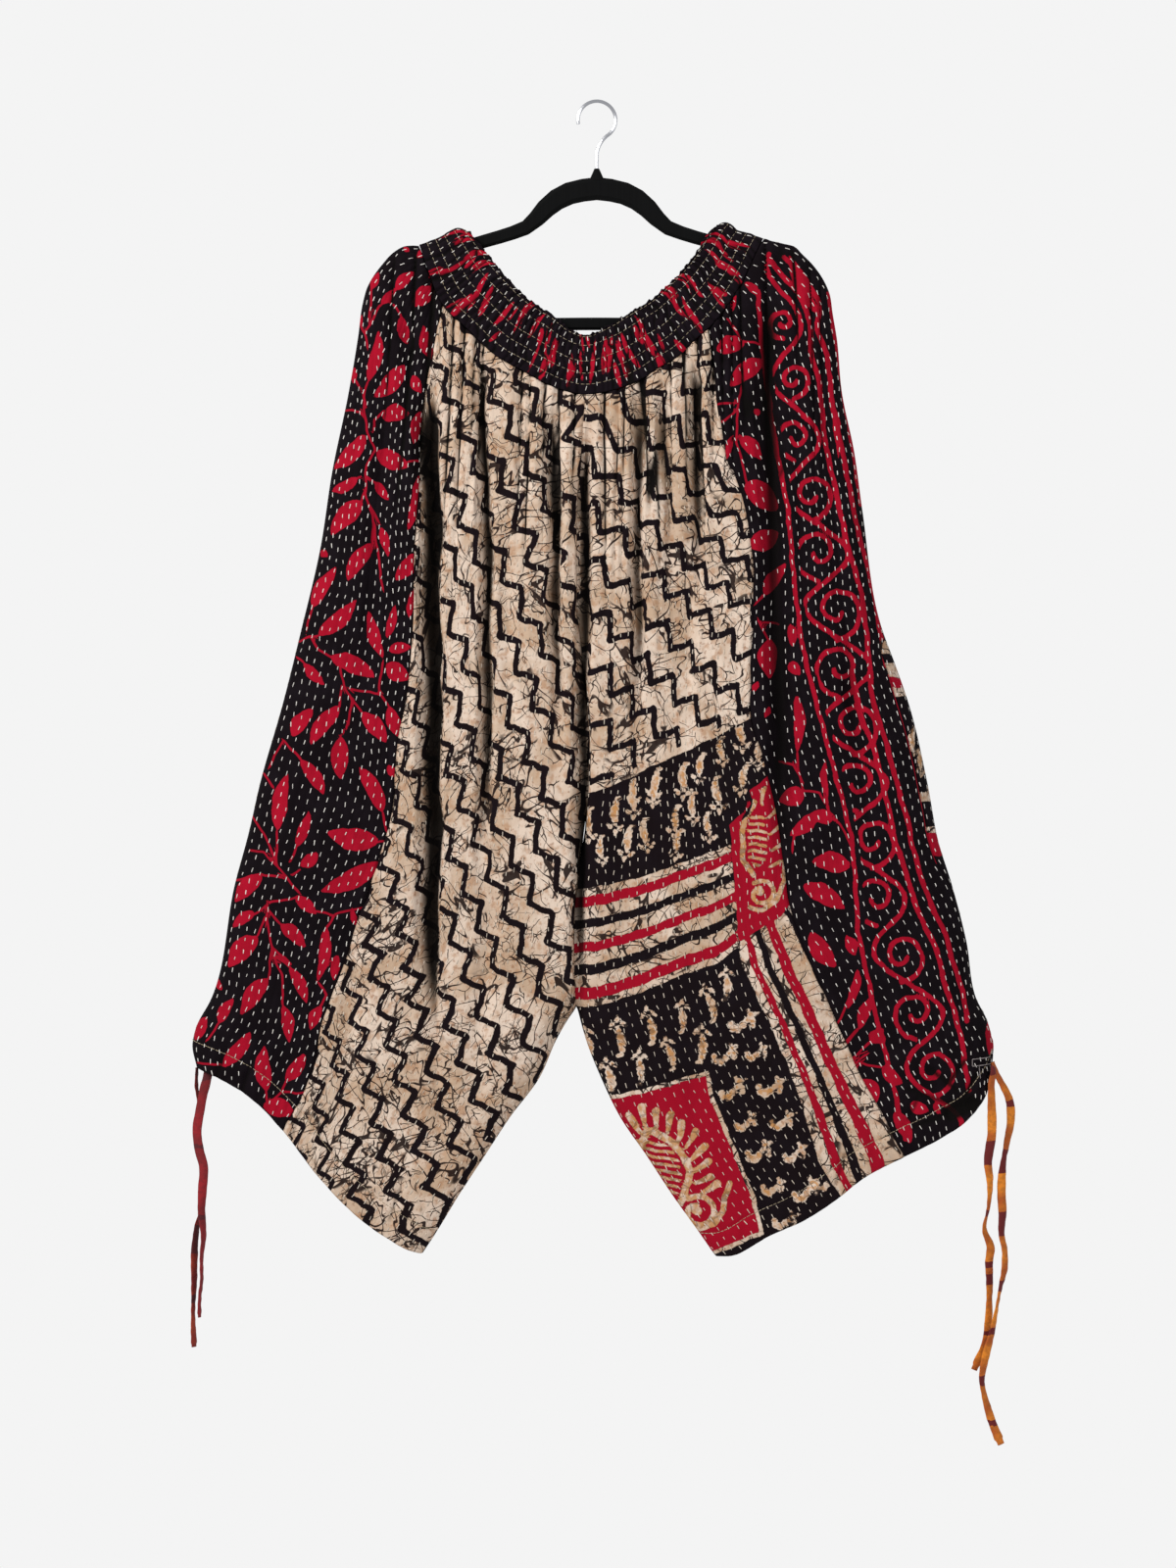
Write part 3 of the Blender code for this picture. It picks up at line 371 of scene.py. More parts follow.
def crease_press(place, creases):
    """How far the creases press the cloth in."""
    x, drop = place[..., 0], -place[..., 1]
    pressed = np.zeros_like(x)
    for c in creases:
        f = np.clip((drop - c.top) / (c.foot - c.top), 0.0, 1.0)
        bow = c.x_mid - (c.x_top + c.x_foot) / 2
        away = x - (c.x_top + (c.x_foot - c.x_top) * f + 4 * bow * f * (1 - f))
        away = away + 0.0018 * wander(drop, int(c.top * 1000) + int(c.foot * 100), 0.17)
        share = np.clip(away / np.where(away > 0, c.right, c.left), -1.0, 1.0)
        opening = smooth(0, 1, np.minimum((drop - c.top) / FOLD_START, (c.foot - drop) / FOLD_END))
        pressed += c.depth * opening * ((1 + np.cos(math.pi * share)) / 2) ** c.steep
    return pressed


def hung(place, side, edges, gap=0.0):
    """The cloth's outer face over these places, how deep a fold is there, and how far out it stands."""
    half = read_off(DEPTHS, -place[..., 1])
    rise = turn_rise(place, edges)
    pressed = np.minimum(crease_press(place, CREASES[side]), np.maximum(half - LEAST_DEPTH, 0.0)) * rise
    depth = gap / 2 + half * rise - pressed
    return np.stack([place[..., 0], side * depth, place[..., 1]], axis=-1), pressed / half, rise


def facing(face, side, column):
    """The outward direction at each point of a grid of rows from the top down."""
    normal = unit(np.cross(np.gradient(face, axis=1), np.gradient(face, axis=0)))
    return -normal if normal[len(face) // 2, column, 1] * side < 0 else normal


# Prints, as distances in millimetres that are negative inside the colour


def read_off(rows, x):
    """The second column of a table at values of its first."""
    return np.interp(x, *np.transpose(rows))


def x_at(line, z):
    """The x of a line that runs down, at heights z."""
    across, up = np.transpose(line)
    return np.interp(-z, -up, across)


def to_stretch(x, z, start, end):
    """Distance to a straight stretch."""
    dx, dz = end[0] - start[0], end[1] - start[1]
    t = np.clip(((x - start[0]) * dx + (z - start[1]) * dz) / max(dx * dx + dz * dz, 1e-6), 0.0, 1.0)
    return np.hypot(x - start[0] - t * dx, z - start[1] - t * dz), t


def to_lines(x, z, lines):
    """Distance to the nearest of these broken lines, and the same with a sign for its side."""
    best = signed = np.full(x.shape, 1e3)
    for line in lines:
        for (ax, az), (bx, bz) in zip(line, line[1:]):
            gap, _ = to_stretch(x, z, (ax, az), (bx, bz))
            side = np.where((x - ax) * (bz - az) > (z - az) * (bx - ax), gap, -gap)
            best, signed = np.where(gap < best, (gap, side), (best, signed))
    return best, signed


def area(x, z, corners):
    """A filled outline."""
    ring = (*corners, corners[0])
    inside = np.zeros(x.shape, bool)
    for (ax, az), (bx, bz) in zip(ring, ring[1:]):
        if az != bz:
            inside ^= ((z < az) != (z < bz)) & (x < ax + (z - az) * (bx - ax) / (bz - az))
    gap, _ = to_lines(x, z, [ring])
    return np.where(inside, -gap, gap)


def leaf_shapes(x, z, leaves):
    """Leaves pointed at both ends: x and z of the stem end, of the tip, and the width."""
    best = np.full(x.shape, 1e3)
    for number, (bx, bz, tx, tz, width) in enumerate(leaves):
        dx, dz = tx - bx, tz - bz
        long = math.hypot(dx, dz)
        t = ((x - bx) * dx + (z - bz) * dz) / long**2
        inside = np.clip(t, 0.0, 1.0)
        bow = (0.05 if number % 2 else -0.05) * long * np.sin(math.pi * inside)
        off = np.abs(((x - bx) * dz - (z - bz) * dx) / long - bow)
        off = off - width / 2 * np.sin(math.pi * inside**0.85) ** 0.8
        over = np.maximum(np.maximum(-t, t - 1), 0.0) * long
        best = np.minimum(best, np.hypot(np.maximum(off, 0.0), over) + np.minimum(off, 0.0) * (over == 0))
    return best


def stairs(x, z, leg, slant, repeat, start):
    """Distance to a lattice of stairs, each step a leg down and a slant across."""
    step = leg[0] + slant[0], leg[1] + slant[1]
    scale = step[0] * repeat[1] - step[1] * repeat[0]
    px, pz = x - start[0], z - start[1]
    a = np.floor((px * repeat[1] - pz * repeat[0]) / scale)
    b = np.floor((step[0] * pz - step[1] * px) / scale)
    best = np.full(x.shape, 1e3)
    for i in (-1, 0, 1):
        for j in (-1, 0, 1, 2):
            ox, oz = [p - (a + i) * s - (b + j) * r for p, s, r in zip((px, pz), step, repeat)]
            for low, high in (((0, 0), leg), (leg, step)):
                best = np.minimum(best, to_stretch(ox, oz, low, high)[0])
    return best


def blobs(x, z, places, shape, turn, size):
    """Small motifs made of round spots that run together: shape is (across, up, radius) rows."""
    best = np.full(x.shape, 1e3)
    for number, (px, pz) in enumerate(places):
        lean = math.radians(turn + 9 * math.sin(2.7 * number))
        scale = size * (1 + 0.10 * math.sin(1.9 * number + 1))
        for cx, cz, radius in shape:
            qx = px + scale * (cx * math.cos(lean) - cz * math.sin(lean))
            qz = pz + scale * (cx * math.sin(lean) + cz * math.cos(lean))
            best = np.minimum(best, np.hypot(x - qx, z - qz) - radius * scale)
    return best


def bands(share, marks):
    """Every second one of the bands between these marks, from the first."""
    pairs = zip(marks[::2], marks[1::2])
    return np.minimum.reduce([np.maximum(low - share, share - high) for low, high in pairs])


def uneven(x, z, amount=0.8):
    """The hand-drawn waver of a printed edge."""
    return x + amount * wander(z + 0.3 * x, 5, 31.0), z + amount * wander(x - 0.2 * z, 6, 27.0)


ZIGZAG_LEFT = dict(leg=(-3.8, -28.8), slant=(24.0, -6.7), repeat=(-28.0, -17.0), start=(-57.0, -477.0))
ZIGZAG_RIGHT = dict(leg=(2.4, -28.3), slant=(25.0, 7.7), repeat=(5.3, -52.8), start=(41.0, -488.0))
ZIGZAG_WIDTH = 3.2  # half of a stair line
# Leaves and stems of the left side's print
LEFT_LEAVES = (
    (-197, -186, -177, -167, 11), (-210, -199, -197, -184, 9), (-178, -202, -158, -181, 16),
    (-191, -211, -184, -239, 11), (-161, -254, -169, -220, 12), (-223, -275, -212, -225, 13),
    (-187, -260, -217, -291, 18), (-179, -269, -171, -287, 11), (-220, -184, -213, -167, 9),
    (-237, -260, -238, -276, 8), (-184, -147, -189, -142, 6), (-177, -152, -165, -143, 8),
    (-164, -173, -150, -165, 8), (-231, -208, -230, -220, 4), (-210, -309, -182, -306, 17),
    (-171, -304, -178, -337, 11), (-225, -328, -257, -360, 17), (-215, -343, -182, -359, 18),
    (-233, -370, -259, -382, 12), (-216, -373, -202, -391, 9), (-172, -365, -184, -421, 12),
    (-228, -392, -259, -424, 20), (-211, -417, -203, -447, 9), (-219, -434, -243, -470, 16),
    (-176, -444, -196, -469, 16), (-270, -440, -262, -445, 8), (-278, -495, -253, -456, 15),
    (-271, -523, -233, -488, 16), (-208, -544, -222, -498, 12), (-205, -525, -196, -492, 9),
    (-202, -538, -180, -534, 11), (-205, -551, -182, -565, 18), (-259, -543, -215, -564, 17),
    (-285, -549, -265, -571, 11), (-297, -620, -276, -594, 16), (-250, -592, -279, -629, 16),
    (-228, -598, -205, -627, 17), (-202, -592, -188, -624, 14), (-182, -506, -177, -477, 7),
    (-248, -621, -248, -663, 17), (-287, -644, -265, -678, 14), (-208, -694, -231, -650, 16),
    (-310, -712, -301, -656, 16), (-292, -728, -280, -693, 11), (-212, -723, -262, -714, 22),
    (-287, -748, -271, -733, 12), (-211, -743, -269, -772, 19), (-326, -756, -354, -782, 17),
    (-293, -777, -272, -794, 12), (-332, -792, -356, -807, 11), (-307, -803, -283, -826, 14),
    (-330, -815, -360, -846, 20), (-263, -806, -271, -859, 12), (-252, -833, -255, -859, 9),
    (-298, -845, -282, -881, 12), (-320, -856, -346, -892, 17), (-305, -882, -299, -919, 12),
    (-268, -883, -279, -906, 12), (-368, -900, -354, -876, 12), (-374, -856, -365, -868, 8),
    (-392, -918, -380, -894, 12), (-364, -941, -336, -908, 15), (-322, -966, -324, -922, 16),
    (-303, -957, -284, -928, 13), (-325, -980, -293, -988, 19), (-203, -649, -194, -661, 9),
    (-233, -805, -238, -787, 6),
)
LEFT_STEMS = (
    ((-245, -302), (-231, -304), (-225, -313)),
    ((-226, -283), (-227, -305), (-223, -325), (-216, -342), (-224, -358), (-225, -369)),
    ((-208, -304), (-217, -313), (-217, -323)), ((-183, -354), (-170, -352)),
    ((-225, -367), (-225, -385), (-218, -407), (-218, -435)), ((-221, -396), (-212, -413)),
    ((-217, -415), (-213, -442), (-208, -479)), ((-224, -368), (-216, -374)), ((-231, -369), (-233, -370)),
    ((-229, -393), (-225, -380)), ((-290, -528), (-279, -523), (-271, -523)),
    ((-279, -523), (-271, -537), (-258, -544)),
    ((-249, -554), (-246, -573), (-231, -577), (-212, -579), (-208, -548)), ((-246, -573), (-228, -598)),
    ((-212, -579), (-202, -592)), ((-248, -572), (-250, -593)), ((-237, -584), (-242, -609), (-249, -623)),
    ((-292, -544), (-285, -549)), ((-278, -495), (-283, -517)), ((-205, -195), (-196, -202), (-191, -211)),
    ((-210, -199), (-213, -201), (-221, -219), (-226, -227), (-224, -242)),
    ((-220, -182), (-220, -196), (-223, -214)), ((-231, -218), (-227, -226)),
    ((-224, -275), (-227, -288), (-225, -301)), ((-236, -274), (-231, -281)), ((-161, -180), (-158, -171)),
    ((-151, -192), (-146, -195)), ((-306, -625), (-292, -638), (-287, -644)), ((-306, -625), (-320, -651)),
    ((-325, -657), (-315, -671)),
    ((-337, -698), (-325, -715), (-314, -736), (-310, -748), (-299, -761), (-289, -774)),
    ((-337, -732), (-323, -734), (-310, -748)), ((-311, -712), (-311, -746)), ((-292, -728), (-297, -742)),
    ((-289, -751), (-296, -755)), ((-352, -761), (-326, -755), (-306, -758)),
    ((-293, -778), (-317, -782), (-332, -793)), ((-321, -783), (-320, -800), (-316, -828), (-319, -856)),
    ((-320, -790), (-307, -803)), ((-321, -795), (-330, -815)), ((-316, -828), (-306, -854), (-305, -882)),
    ((-315, -832), (-298, -845)), ((-316, -826), (-297, -842)), ((-272, -791), (-256, -794), (-227, -787)),
    ((-254, -794), (-263, -806)), ((-271, -859), (-263, -872), (-268, -883)), ((-379, -916), (-368, -900)),
    ((-389, -939), (-363, -941)), ((-307, -967), (-284, -968)), ((-322, -966), (-320, -980)),
    ((-303, -957), (-307, -967), (-320, -980)), ((-208, -694), (-204, -715)), ((-212, -723), (-204, -724)),
    ((-248, -621), (-242, -607)),
)
# The right side's leaves and stems, and the border beside them
RIGHT_LEAVES = (
    (116, -244, 145, -237, 18), (162, -254, 129, -280, 18), (140, -329, 160, -352, 15),
    (133, -328, 126, -352, 7), (144, -375, 176, -401, 25), (148, -436, 177, -421, 21),
    (153, -303, 160, -307, 7), (136, -191, 132, -207, 5), (144, -179, 160, -191, 9),
    (117, -177, 125, -205, 9), (163, -483, 184, -453, 14), (168, -526, 168, -565, 20),
    (188, -511, 190, -535, 9), (188, -549, 198, -561, 12), (194, -580, 194, -638, 11),
    (156, -568, 153, -578, 7), (167, -592, 163, -603, 6), (221, -646, 224, -681, 7),
    (201, -674, 178, -684, 19), (230, -702, 207, -697, 14), (212, -697, 188, -717, 15),
    (246, -747, 208, -742, 20), (200, -765, 241, -789, 19), (207, -812, 233, -846, 19),
    (242, -815, 251, -835, 11), (266, -876, 255, -906, 12), (254, -847, 243, -887, 9),
    (266, -918, 278, -905, 14), (281, -918, 270, -909, 10), (278, -942, 298, -960, 13),
    (253, -956, 273, -978, 23), (305, -977, 323, -987, 12), (290, -986, 305, -1017, 15),
    (327, -978, 341, -989, 9), (359, -929, 359, -948, 7), (359, -951, 362, -970, 9),
    (242, -814, 251, -835, 10), (339, -976, 349, -979, 6),
)
RIGHT_STEMS = (
    ((144, -236), (160, -239)), ((128, -215), (140, -233)),
    ((140, -281), (136, -312), (136, -336), (142, -358), (146, -375)), ((118, -298), (135, -296)),
    ((122, -315), (134, -305)), ((136, -328), (140, -329)), ((163, -483), (153, -493)),
    ((157, -508), (166, -526)), ((157, -509), (176, -511)), ((194, -637), (195, -647), (200, -674)),
    ((180, -645), (192, -649), (200, -666)),
    ((200, -673), (216, -676), (226, -694), (237, -707), (247, -728), (249, -747)),
    ((230, -702), (234, -705)), ((221, -646), (223, -680), (225, -693)), ((192, -716), (190, -732)),
    ((249, -866), (233, -904)), ((239, -921), (254, -905)), ((250, -940), (263, -930)),
    ((241, -921), (255, -905)), ((250, -933), (266, -918)), ((251, -938), (278, -943)),
    ((241, -929), (253, -938), (253, -956)), ((361, -921), (366, -913)),
)
SCROLL_EDGE = (
    (157, -187), (160, -230), (166, -278), (172, -322), (186, -403), (192, -475), (199, -530), (207, -565),
    (216, -599), (228, -645), (238, -681), (247, -718), (250, -749), (254, -813), (272, -897), (287, -954),
    (300, -1013),
)
SCROLL_MIDDLE = (
    (180, -158), (183, -217), (189, -274), (195, -329), (206, -385), (218, -442), (230, -497), (239, -555),
    (247, -610), (256, -667), (265, -722), (274, -776), (293, -832), (312, -887), (324, -941), (333, -994),
)
SCROLL_STRIPES = (
    (
        (167, -155), (197, -189), (208, -217), (208, -245), (217, -277), (220, -312), (223, -338),
        (233, -383), (241, -423), (247, -446), (257, -478), (261, -505), (264, -540), (268, -587),
        (280, -624), (291, -665), (303, -707), (306, -725), (315, -758), (325, -785), (339, -813),
        (348, -846), (357, -870), (360, -898),
    ),
    (
        (183, -153), (203, -173), (217, -197), (215, -225), (225, -251), (229, -292), (235, -322),
        (245, -372), (255, -423), (262, -446), (271, -481), (276, -514), (282, -552),
    ),
    (
        (249, -562), (255, -597), (270, -635), (282, -686), (291, -728), (300, -752), (307, -778),
        (319, -807), (331, -830), (337, -858), (347, -887), (354, -913), (358, -940), (362, -965),
    ),
    (
        (227, -187), (231, -217), (238, -257), (244, -302), (251, -342), (258, -393),
    ),
)
SCROLL_SWELLS = ((387, -894, 383, -932, 15), (188, -150, 219, -214, 12), (227, -290, 235, -350, 7))
# The scroll's drop, wave and coil, and a coil's turn in degrees and its share of the coil's size
SCROLL_SIZES = ((200, 15, 16), (330, 21, 23), (480, 28, 31), (700, 25, 28.5), (1000, 23, 26))
COIL_TURNS = ((0, 1.0), (90, 0.72), (180, 0.55), (270, 0.44), (360, 0.34), (425, 0.2))
SCROLL_PITCH, SCROLL_START = 56.0, -497.0
# Small paisleys: where each row of them stands, and the spots that one is made of (across, up, radius)
BUTIS_UPPER = (
    (18, -698), (35, -684), (56, -675), (47, -717), (30, -724), (4, -732), (76, -703), (84, -664),
    (93, -691), (100, -652), (117, -678), (142, -663), (121, -636), (158, -636), (-8, -707), (36, -673),
    (57, -667), (140, -619), (78, -727), (108, -710),
)
BUTIS_LOWER = (
    (22, -913), (52, -902), (83, -893), (110, -880), (102, -920), (71, -929), (42, -943), (12, -953),
    (-9, -920), (126, -862),
)
BUTIS_TURNED = (
    (143, -898), (126, -930), (156, -928), (133, -964), (170, -962), (146, -996), (181, -995), (159, -1025),
    (194, -1027), (173, -1060), (205, -1063), (185, -1093), (225, -1054),
)
BUTI = (
    (0.4, 13.2, 1.9), (2.8, 14, 1.5), (-0.6, 9.5, 2.6), (-1.2, 5, 3.4), (-0.8, 0.6, 3.7), (0.2, -3.4, 2.8),
    (0.6, -7, 1.6), (-3.6, -9.4, 2.0), (-5.8, -7.6, 1.3), (4.2, -9.6, 2.0), (6.2, -7.4, 1.4), (0.6, -12.6, 1.9),
    (0.6, -15.0, 1.1),
)
TURNED_BUTI = (
    (-10, -1, 2.8), (-9, -4.6, 3.0), (-5, -5.4, 3.6), (-1, -2.6, 3.2), (2.4, 0.8, 2.4), (5, 4.6, 2.6),
    (8.4, 5.4, 1.8), (3.4, 8.2, 1.7), (6.6, 0.0, 2.6), (6.4, -3.6, 2.2), (12.4, 6.6, 0.9),
)
# The right leg's border: its lines, and its stripes as shares of its width
STRIPES_TOP = (
    (-18, -770), (11, -765), (49, -756), (87, -742), (129, -727), (141, -723),
)
STRIPES_FOOT = (
    (-26, -885), (1, -883), (39, -871), (87, -851), (116, -842), (137, -826),
)
STRIPES_END = ((129, -700), (131, -742), (139, -818), (139, -840))
CREAM_FOOT = (
    (-18, -678), (-6, -676), (20, -667), (49, -652), (87, -635), (116, -621), (141, -607), (151, -603),
)
UPRIGHT_LEFT = (
    (133, -806), (142, -845), (155, -873), (167, -897), (180, -928), (192, -957), (204, -994), (216, -1034),
    (228, -1056), (241, -1072),
)
UPRIGHT_RIGHT = (
    (180, -787), (198, -823), (210, -850), (224, -877), (241, -917), (259, -954), (279, -989), (303, -1032),
)
UPRIGHT_TOP = ((133, -806), (140, -820), (180, -787), (200, -770))
STRIPE_CREAM = (
    0, 0.067, 0.157, 0.261, 0.336, 0.455, 0.537, 0.642, 0.731, 0.836, 0.94, 1,
)
STRIPE_RED = (
    0.067, 0.157, 0.455, 0.537, 0.836, 0.94,
)
UPRIGHT_CREAM = (
    0, 0.13, 0.24, 0.33, 0.44, 0.56, 0.73, 1, 1.12, 1.27,
)
UPRIGHT_RED = (
    0.13, 0.24, 0.56, 0.73,
)
# The two squares, each with a feathered motif
UPPER_MOTIF = Motif(
    square=(
        (129, -707), (143, -694), (149, -673), (183, -646), (212, -725), (195, -777), (179, -795), (138, -821),
    ),
    inset=5, rim=0, coil=(160, -773), scale=0.75,
    spine=(
        (153, -684), (144, -700), (141, -716), (142, -741), (152, -756),
    ),
    petals=(
        ((166, -700), (176, -690)), ((168, -716), (179, -708)), ((169, -732), (180, -726)),
        ((168, -748), (178, -743)), ((152, -690), (147, -676)), ((160, -688), (162, -672)),
    ),
    tail=(
        (184, -735), (182, -760), (174, -782), (160, -790), (148, -787),
    ),
    bars=(
        (150, -694), (163, -700), (166, -720), (164, -742), (155, -750), (147, -740), (146, -715),
    ),
)
LOWER_MOTIF = Motif(
    square=(
        (3, -974), (60, -960), (108, -946), (115, -975), (129, -1008), (140, -1035), (154, -1069), (163, -1106),
        (111, -1129), (-9, -1070),
    ),
    inset=0, rim=3.9, coil=(99, -1085), scale=1.0,
    spine=(
        (43, -1022), (49, -1005), (60, -1008), (74, -1017), (84, -1029), (90, -1042), (89, -1056), (85, -1068),
        (81, -1078),
    ),
    petals=(
        ((43, -1008), (31, -991)), ((46, -1001), (44, -981)), ((57, -1004), (58, -986)),
        ((68, -1008), (72, -989)), ((79, -1017), (83, -997)), ((87, -1021), (96, -1006)),
        ((92, -1034), (105, -1020)), ((94, -1045), (109, -1035)), ((96, -1056), (111, -1050)),
        ((101, -1068), (117, -1057)),
    ),
    tail=(
        (129, -1056), (125, -1071), (123, -1083), (115, -1095), (105, -1101), (96, -1103),
    ),
    bars=(
        (34, -1015), (49, -1012), (60, -1014), (72, -1022), (81, -1036), (83, -1052), (78, -1068), (40, -1072),
    ),
)


def zigzag_print(x, z, across):
    """The left leg's cloth: cream with stair lines. across is measured along the cloth, over its folds."""
    t = np.clip((-600.0 - z) / 480.0, 0.0, 1.0)
    w = np.clip((-40.0 - x) / 210.0, 0.0, 1.0)
    px = across + 95 * t * t * (0.15 + 0.85 * w)
    pz = z + 0.34 * t * (np.minimum(x, -40.0) + 40.0)
    return {"cream": ZIGZAG_WIDTH - stairs(*uneven(px, pz, 1.1), **ZIGZAG_LEFT)}


def feathered(x, z, motif):
    """The large feathered motif: a curved spine with petals, bars within it and a coil at its foot."""
    size = motif.scale
    turns = np.arange(12)
    radius, angle = size * (16.5 - 0.075 * turns * turns), np.radians(130 - 35 * turns)
    coil = np.stack([motif.coil[0] + radius * np.cos(angle), motif.coil[1] + radius * np.sin(angle)], axis=1)
    shapes = [to_lines(x, z, [line])[0] - half * size for line, half in (
        (motif.spine, 3.4), (motif.tail, 2.9), (coil, 2.7),
    )]
    shapes.append(np.hypot(x - motif.coil[0] + 1, z - motif.coil[1] - 1) - 4.6 * size)
    for base, tip in motif.petals:
        reach = (x - base[0]) * (tip[0] - base[0]) + (z - base[1]) * (tip[1] - base[1])
        half = 1.7 + 2.1 * np.clip(reach / 324.0, 0.0, 1.0)
        shapes.append(to_stretch(x, z, base, tip)[0] - half * size)
    bar = np.abs((z + 0.12 * x - 2.0) % 6.6 - 3.3) - 1.5
    shapes.append(np.maximum(bar, area(x, z, motif.bars)))
    return np.minimum.reduce(shapes)


def border_print(x, z, across):
    """The right leg's cloth: stair lines, then the cloth's printed border turned two ways."""
    t = np.clip((-330.0 - z) / 170.0, 0.0, 1.0)
    lines = ZIGZAG_WIDTH - stairs(*uneven(across, z + 0.31 * x * (1 - t), 1.1), **ZIGZAG_RIGHT)
    x, z = uneven(x, z)
    field = read_off(CREAM_FOOT, x) - z
    cream = np.minimum(np.maximum(lines, field), np.abs(field + 3.4) - 3.4)
    red = np.full(x.shape, FAR)

    # The stripes across, and the strip of them turned down
    top, foot = read_off(STRIPES_TOP, x), read_off(STRIPES_FOOT, x)
    low, high = x_at(UPRIGHT_LEFT, z), x_at(UPRIGHT_RIGHT, z)
    level = (top - z) / (top - foot)
    for share, wide, within, creams, reds in (
        (level, top - foot,
         np.maximum(np.maximum(-level, level - 1) * (top - foot), x - x_at(STRIPES_END, z)),
         STRIPE_CREAM, STRIPE_RED),
        ((x - low) / (high - low), (high - low) * 0.9,
         np.maximum(z - read_off(UPRIGHT_TOP, x), (low - x) * 0.9),
         UPRIGHT_CREAM, UPRIGHT_RED),
    ):
        cream = np.minimum(cream, np.maximum(bands(share, creams) * wide, within))
        red = np.minimum(red, np.maximum(bands(share, reds) * wide, within))

    brown = np.full(x.shape, FAR)
    for motif in (UPPER_MOTIF, LOWER_MOTIF):
        square, shape = area(x, z, motif.square), feathered(x, z, motif)
        if motif.rim:
            shape = np.minimum(shape, -square - motif.rim)
        cream = np.minimum(np.maximum(cream, -square), np.maximum(shape, square + motif.inset))
        red = np.minimum(np.maximum(red, -square), np.maximum(square, -shape))
        brown = np.minimum(brown, square + 6)

    ground = np.minimum(np.minimum(cream, red) - 2.5, 30.0)
    small = np.minimum.reduce([blobs(x, z, *rows) for rows in (
        (BUTIS_UPPER, BUTI, -4, 1.13), (BUTIS_LOWER, BUTI, 186, 1.22), (BUTIS_TURNED, TURNED_BUTI, 4, 1.15),
    )])
    small = np.maximum(small, -ground)
    return {"cream": np.minimum(cream, small), "red": red, "ochre": np.minimum(small + 1.3, brown)}


def leaf_print(x, z, across):
    """The left side's cloth."""
    x, z = uneven(x, z)
    stem, stem_side = to_lines(x, z, LEFT_STEMS)
    return {"red": leaf_shapes(x, z, LEFT_LEAVES), "stem": stem, "stem_side": stem_side}


def scroll_lines():
    """The running scroll: a wave with a coil in each of its bends."""
    drops, waves, coils = np.transpose(SCROLL_SIZES)
    heights = np.arange(-150.0, -1010.0, -4.0)
    phase = math.pi * (heights - SCROLL_START) / SCROLL_PITCH
    wave = x_at(SCROLL_MIDDLE, heights) - np.interp(-heights, drops, waves) * np.cos(phase)
    lines = [list(zip(wave, heights))]
    degrees = np.arange(0, 425, 20)
    for k in range(-5, 9):
        height = SCROLL_START - k * SCROLL_PITCH
        hand = -1 if k % 2 else 1
        size = np.interp(-height, drops, coils)
        radius, angle = size * read_off(COIL_TURNS, degrees), np.radians(degrees)
        coil_x = x_at(SCROLL_MIDDLE, height) + hand * (radius * np.sin(angle) + 0.1 * size)
        lines.append(list(zip(coil_x, height - radius * np.cos(angle))))
    return lines


def leaf_and_scroll_print(x, z, across):
    """The right side's cloth: leaves, then a border of scroll and stripes."""
    x, z = uneven(x, z)
    edge = x_at(SCROLL_EDGE, z)
    limit = edge + 40 * (z < -880)
    leaves = np.maximum(leaf_shapes(x, z, RIGHT_LEAVES), x - limit)
    stem, stem_side = to_lines(x, z, RIGHT_STEMS)
    scroll = np.maximum(to_lines(x, z, scroll_lines())[0] - 2.3, edge + 7 - x)
    stripes = to_lines(x, z, SCROLL_STRIPES)[0] - 2.5
    side = to_lines(x, z, [SCROLL_EDGE])[0] - 2.2
    red = np.minimum.reduce([leaves, scroll, stripes, side, leaf_shapes(x, z, SCROLL_SWELLS)])
    return {"red": red, "stem": np.where(x > limit, FAR, stem), "stem_side": stem_side}


def back_side_print(x, z, across):
    """The right side's back: scroll above, and below it the border's stripes and rows of small leaves."""
    above = leaf_and_scroll_print(x, z, across)
    x, z = uneven(x, z)
    tall = -527.0 - z
    cream = np.maximum(bands(tall, (0, 13, 22.5, 36, 46, 54.5, 148, 157, 182, 188)), -tall)
    red = np.minimum(np.maximum(above["red"], tall), np.maximum(bands(tall, (36, 46)), -tall))
    red = np.minimum(np.minimum(red, np.maximum(above["red"], 210.0 - tall)), bands(tall, (188, 210)))
    places = [(308.0, -625.0), (316.0, -646.0), (330.0, -664.0)]
    places += [(i * 34.0 + 17 * (j % 2) + 90, -606.0 - 36 * j) for j in range(2) for i in range(6)]
    small = np.maximum(blobs(x, z, places, BUTI, -4, 0.95), 62.0 - tall)
    stem = np.where((tall > -3) & (tall < 210), FAR, above["stem"])
    return {"cream": np.minimum(cream, small), "red": red, "stem": stem,
            "stem_side": above["stem_side"], "ochre": small + 1.3}


def band_print(across, up):
    """The waistband's cloth, whose leaves are gathered into narrow streaks across the band."""
    random = np.random.RandomState(14)
    best = np.full(across.shape, FAR)
    for cluster in range(22):
        home, level = (cluster / 22 - 0.5) * 420 + random.uniform(-6, 6), random.uniform(10, 46)
        for _ in range(random.randint(1, 6)):
            middle, height = home + random.normal(0, 5.5), np.clip(level + random.normal(0, 9), 3, 58)
            tall, wide = random.uniform(6, 19), random.uniform(1.1, 3.4)
            lean = random.uniform(-0.30, 0.30)
            du = (across - middle - lean * (up - height)) / wide
            best = np.minimum(best, (np.hypot(du, (up - height) / tall) - 1) * wide)
    return {"red": best}


# Making pieces


def linked(name, data, finish=None):
    """A new object in the scene."""
    if finish:
        data.materials.append(finish)
    obj = bpy.data.objects.new(name, data)
    bpy.context.scene.collection.objects.link(obj)
    return obj


def mesh_of(bm, name):
    mesh = bpy.data.meshes.new(name)
    bm.to_mesh(mesh)
    bm.free()
    return mesh


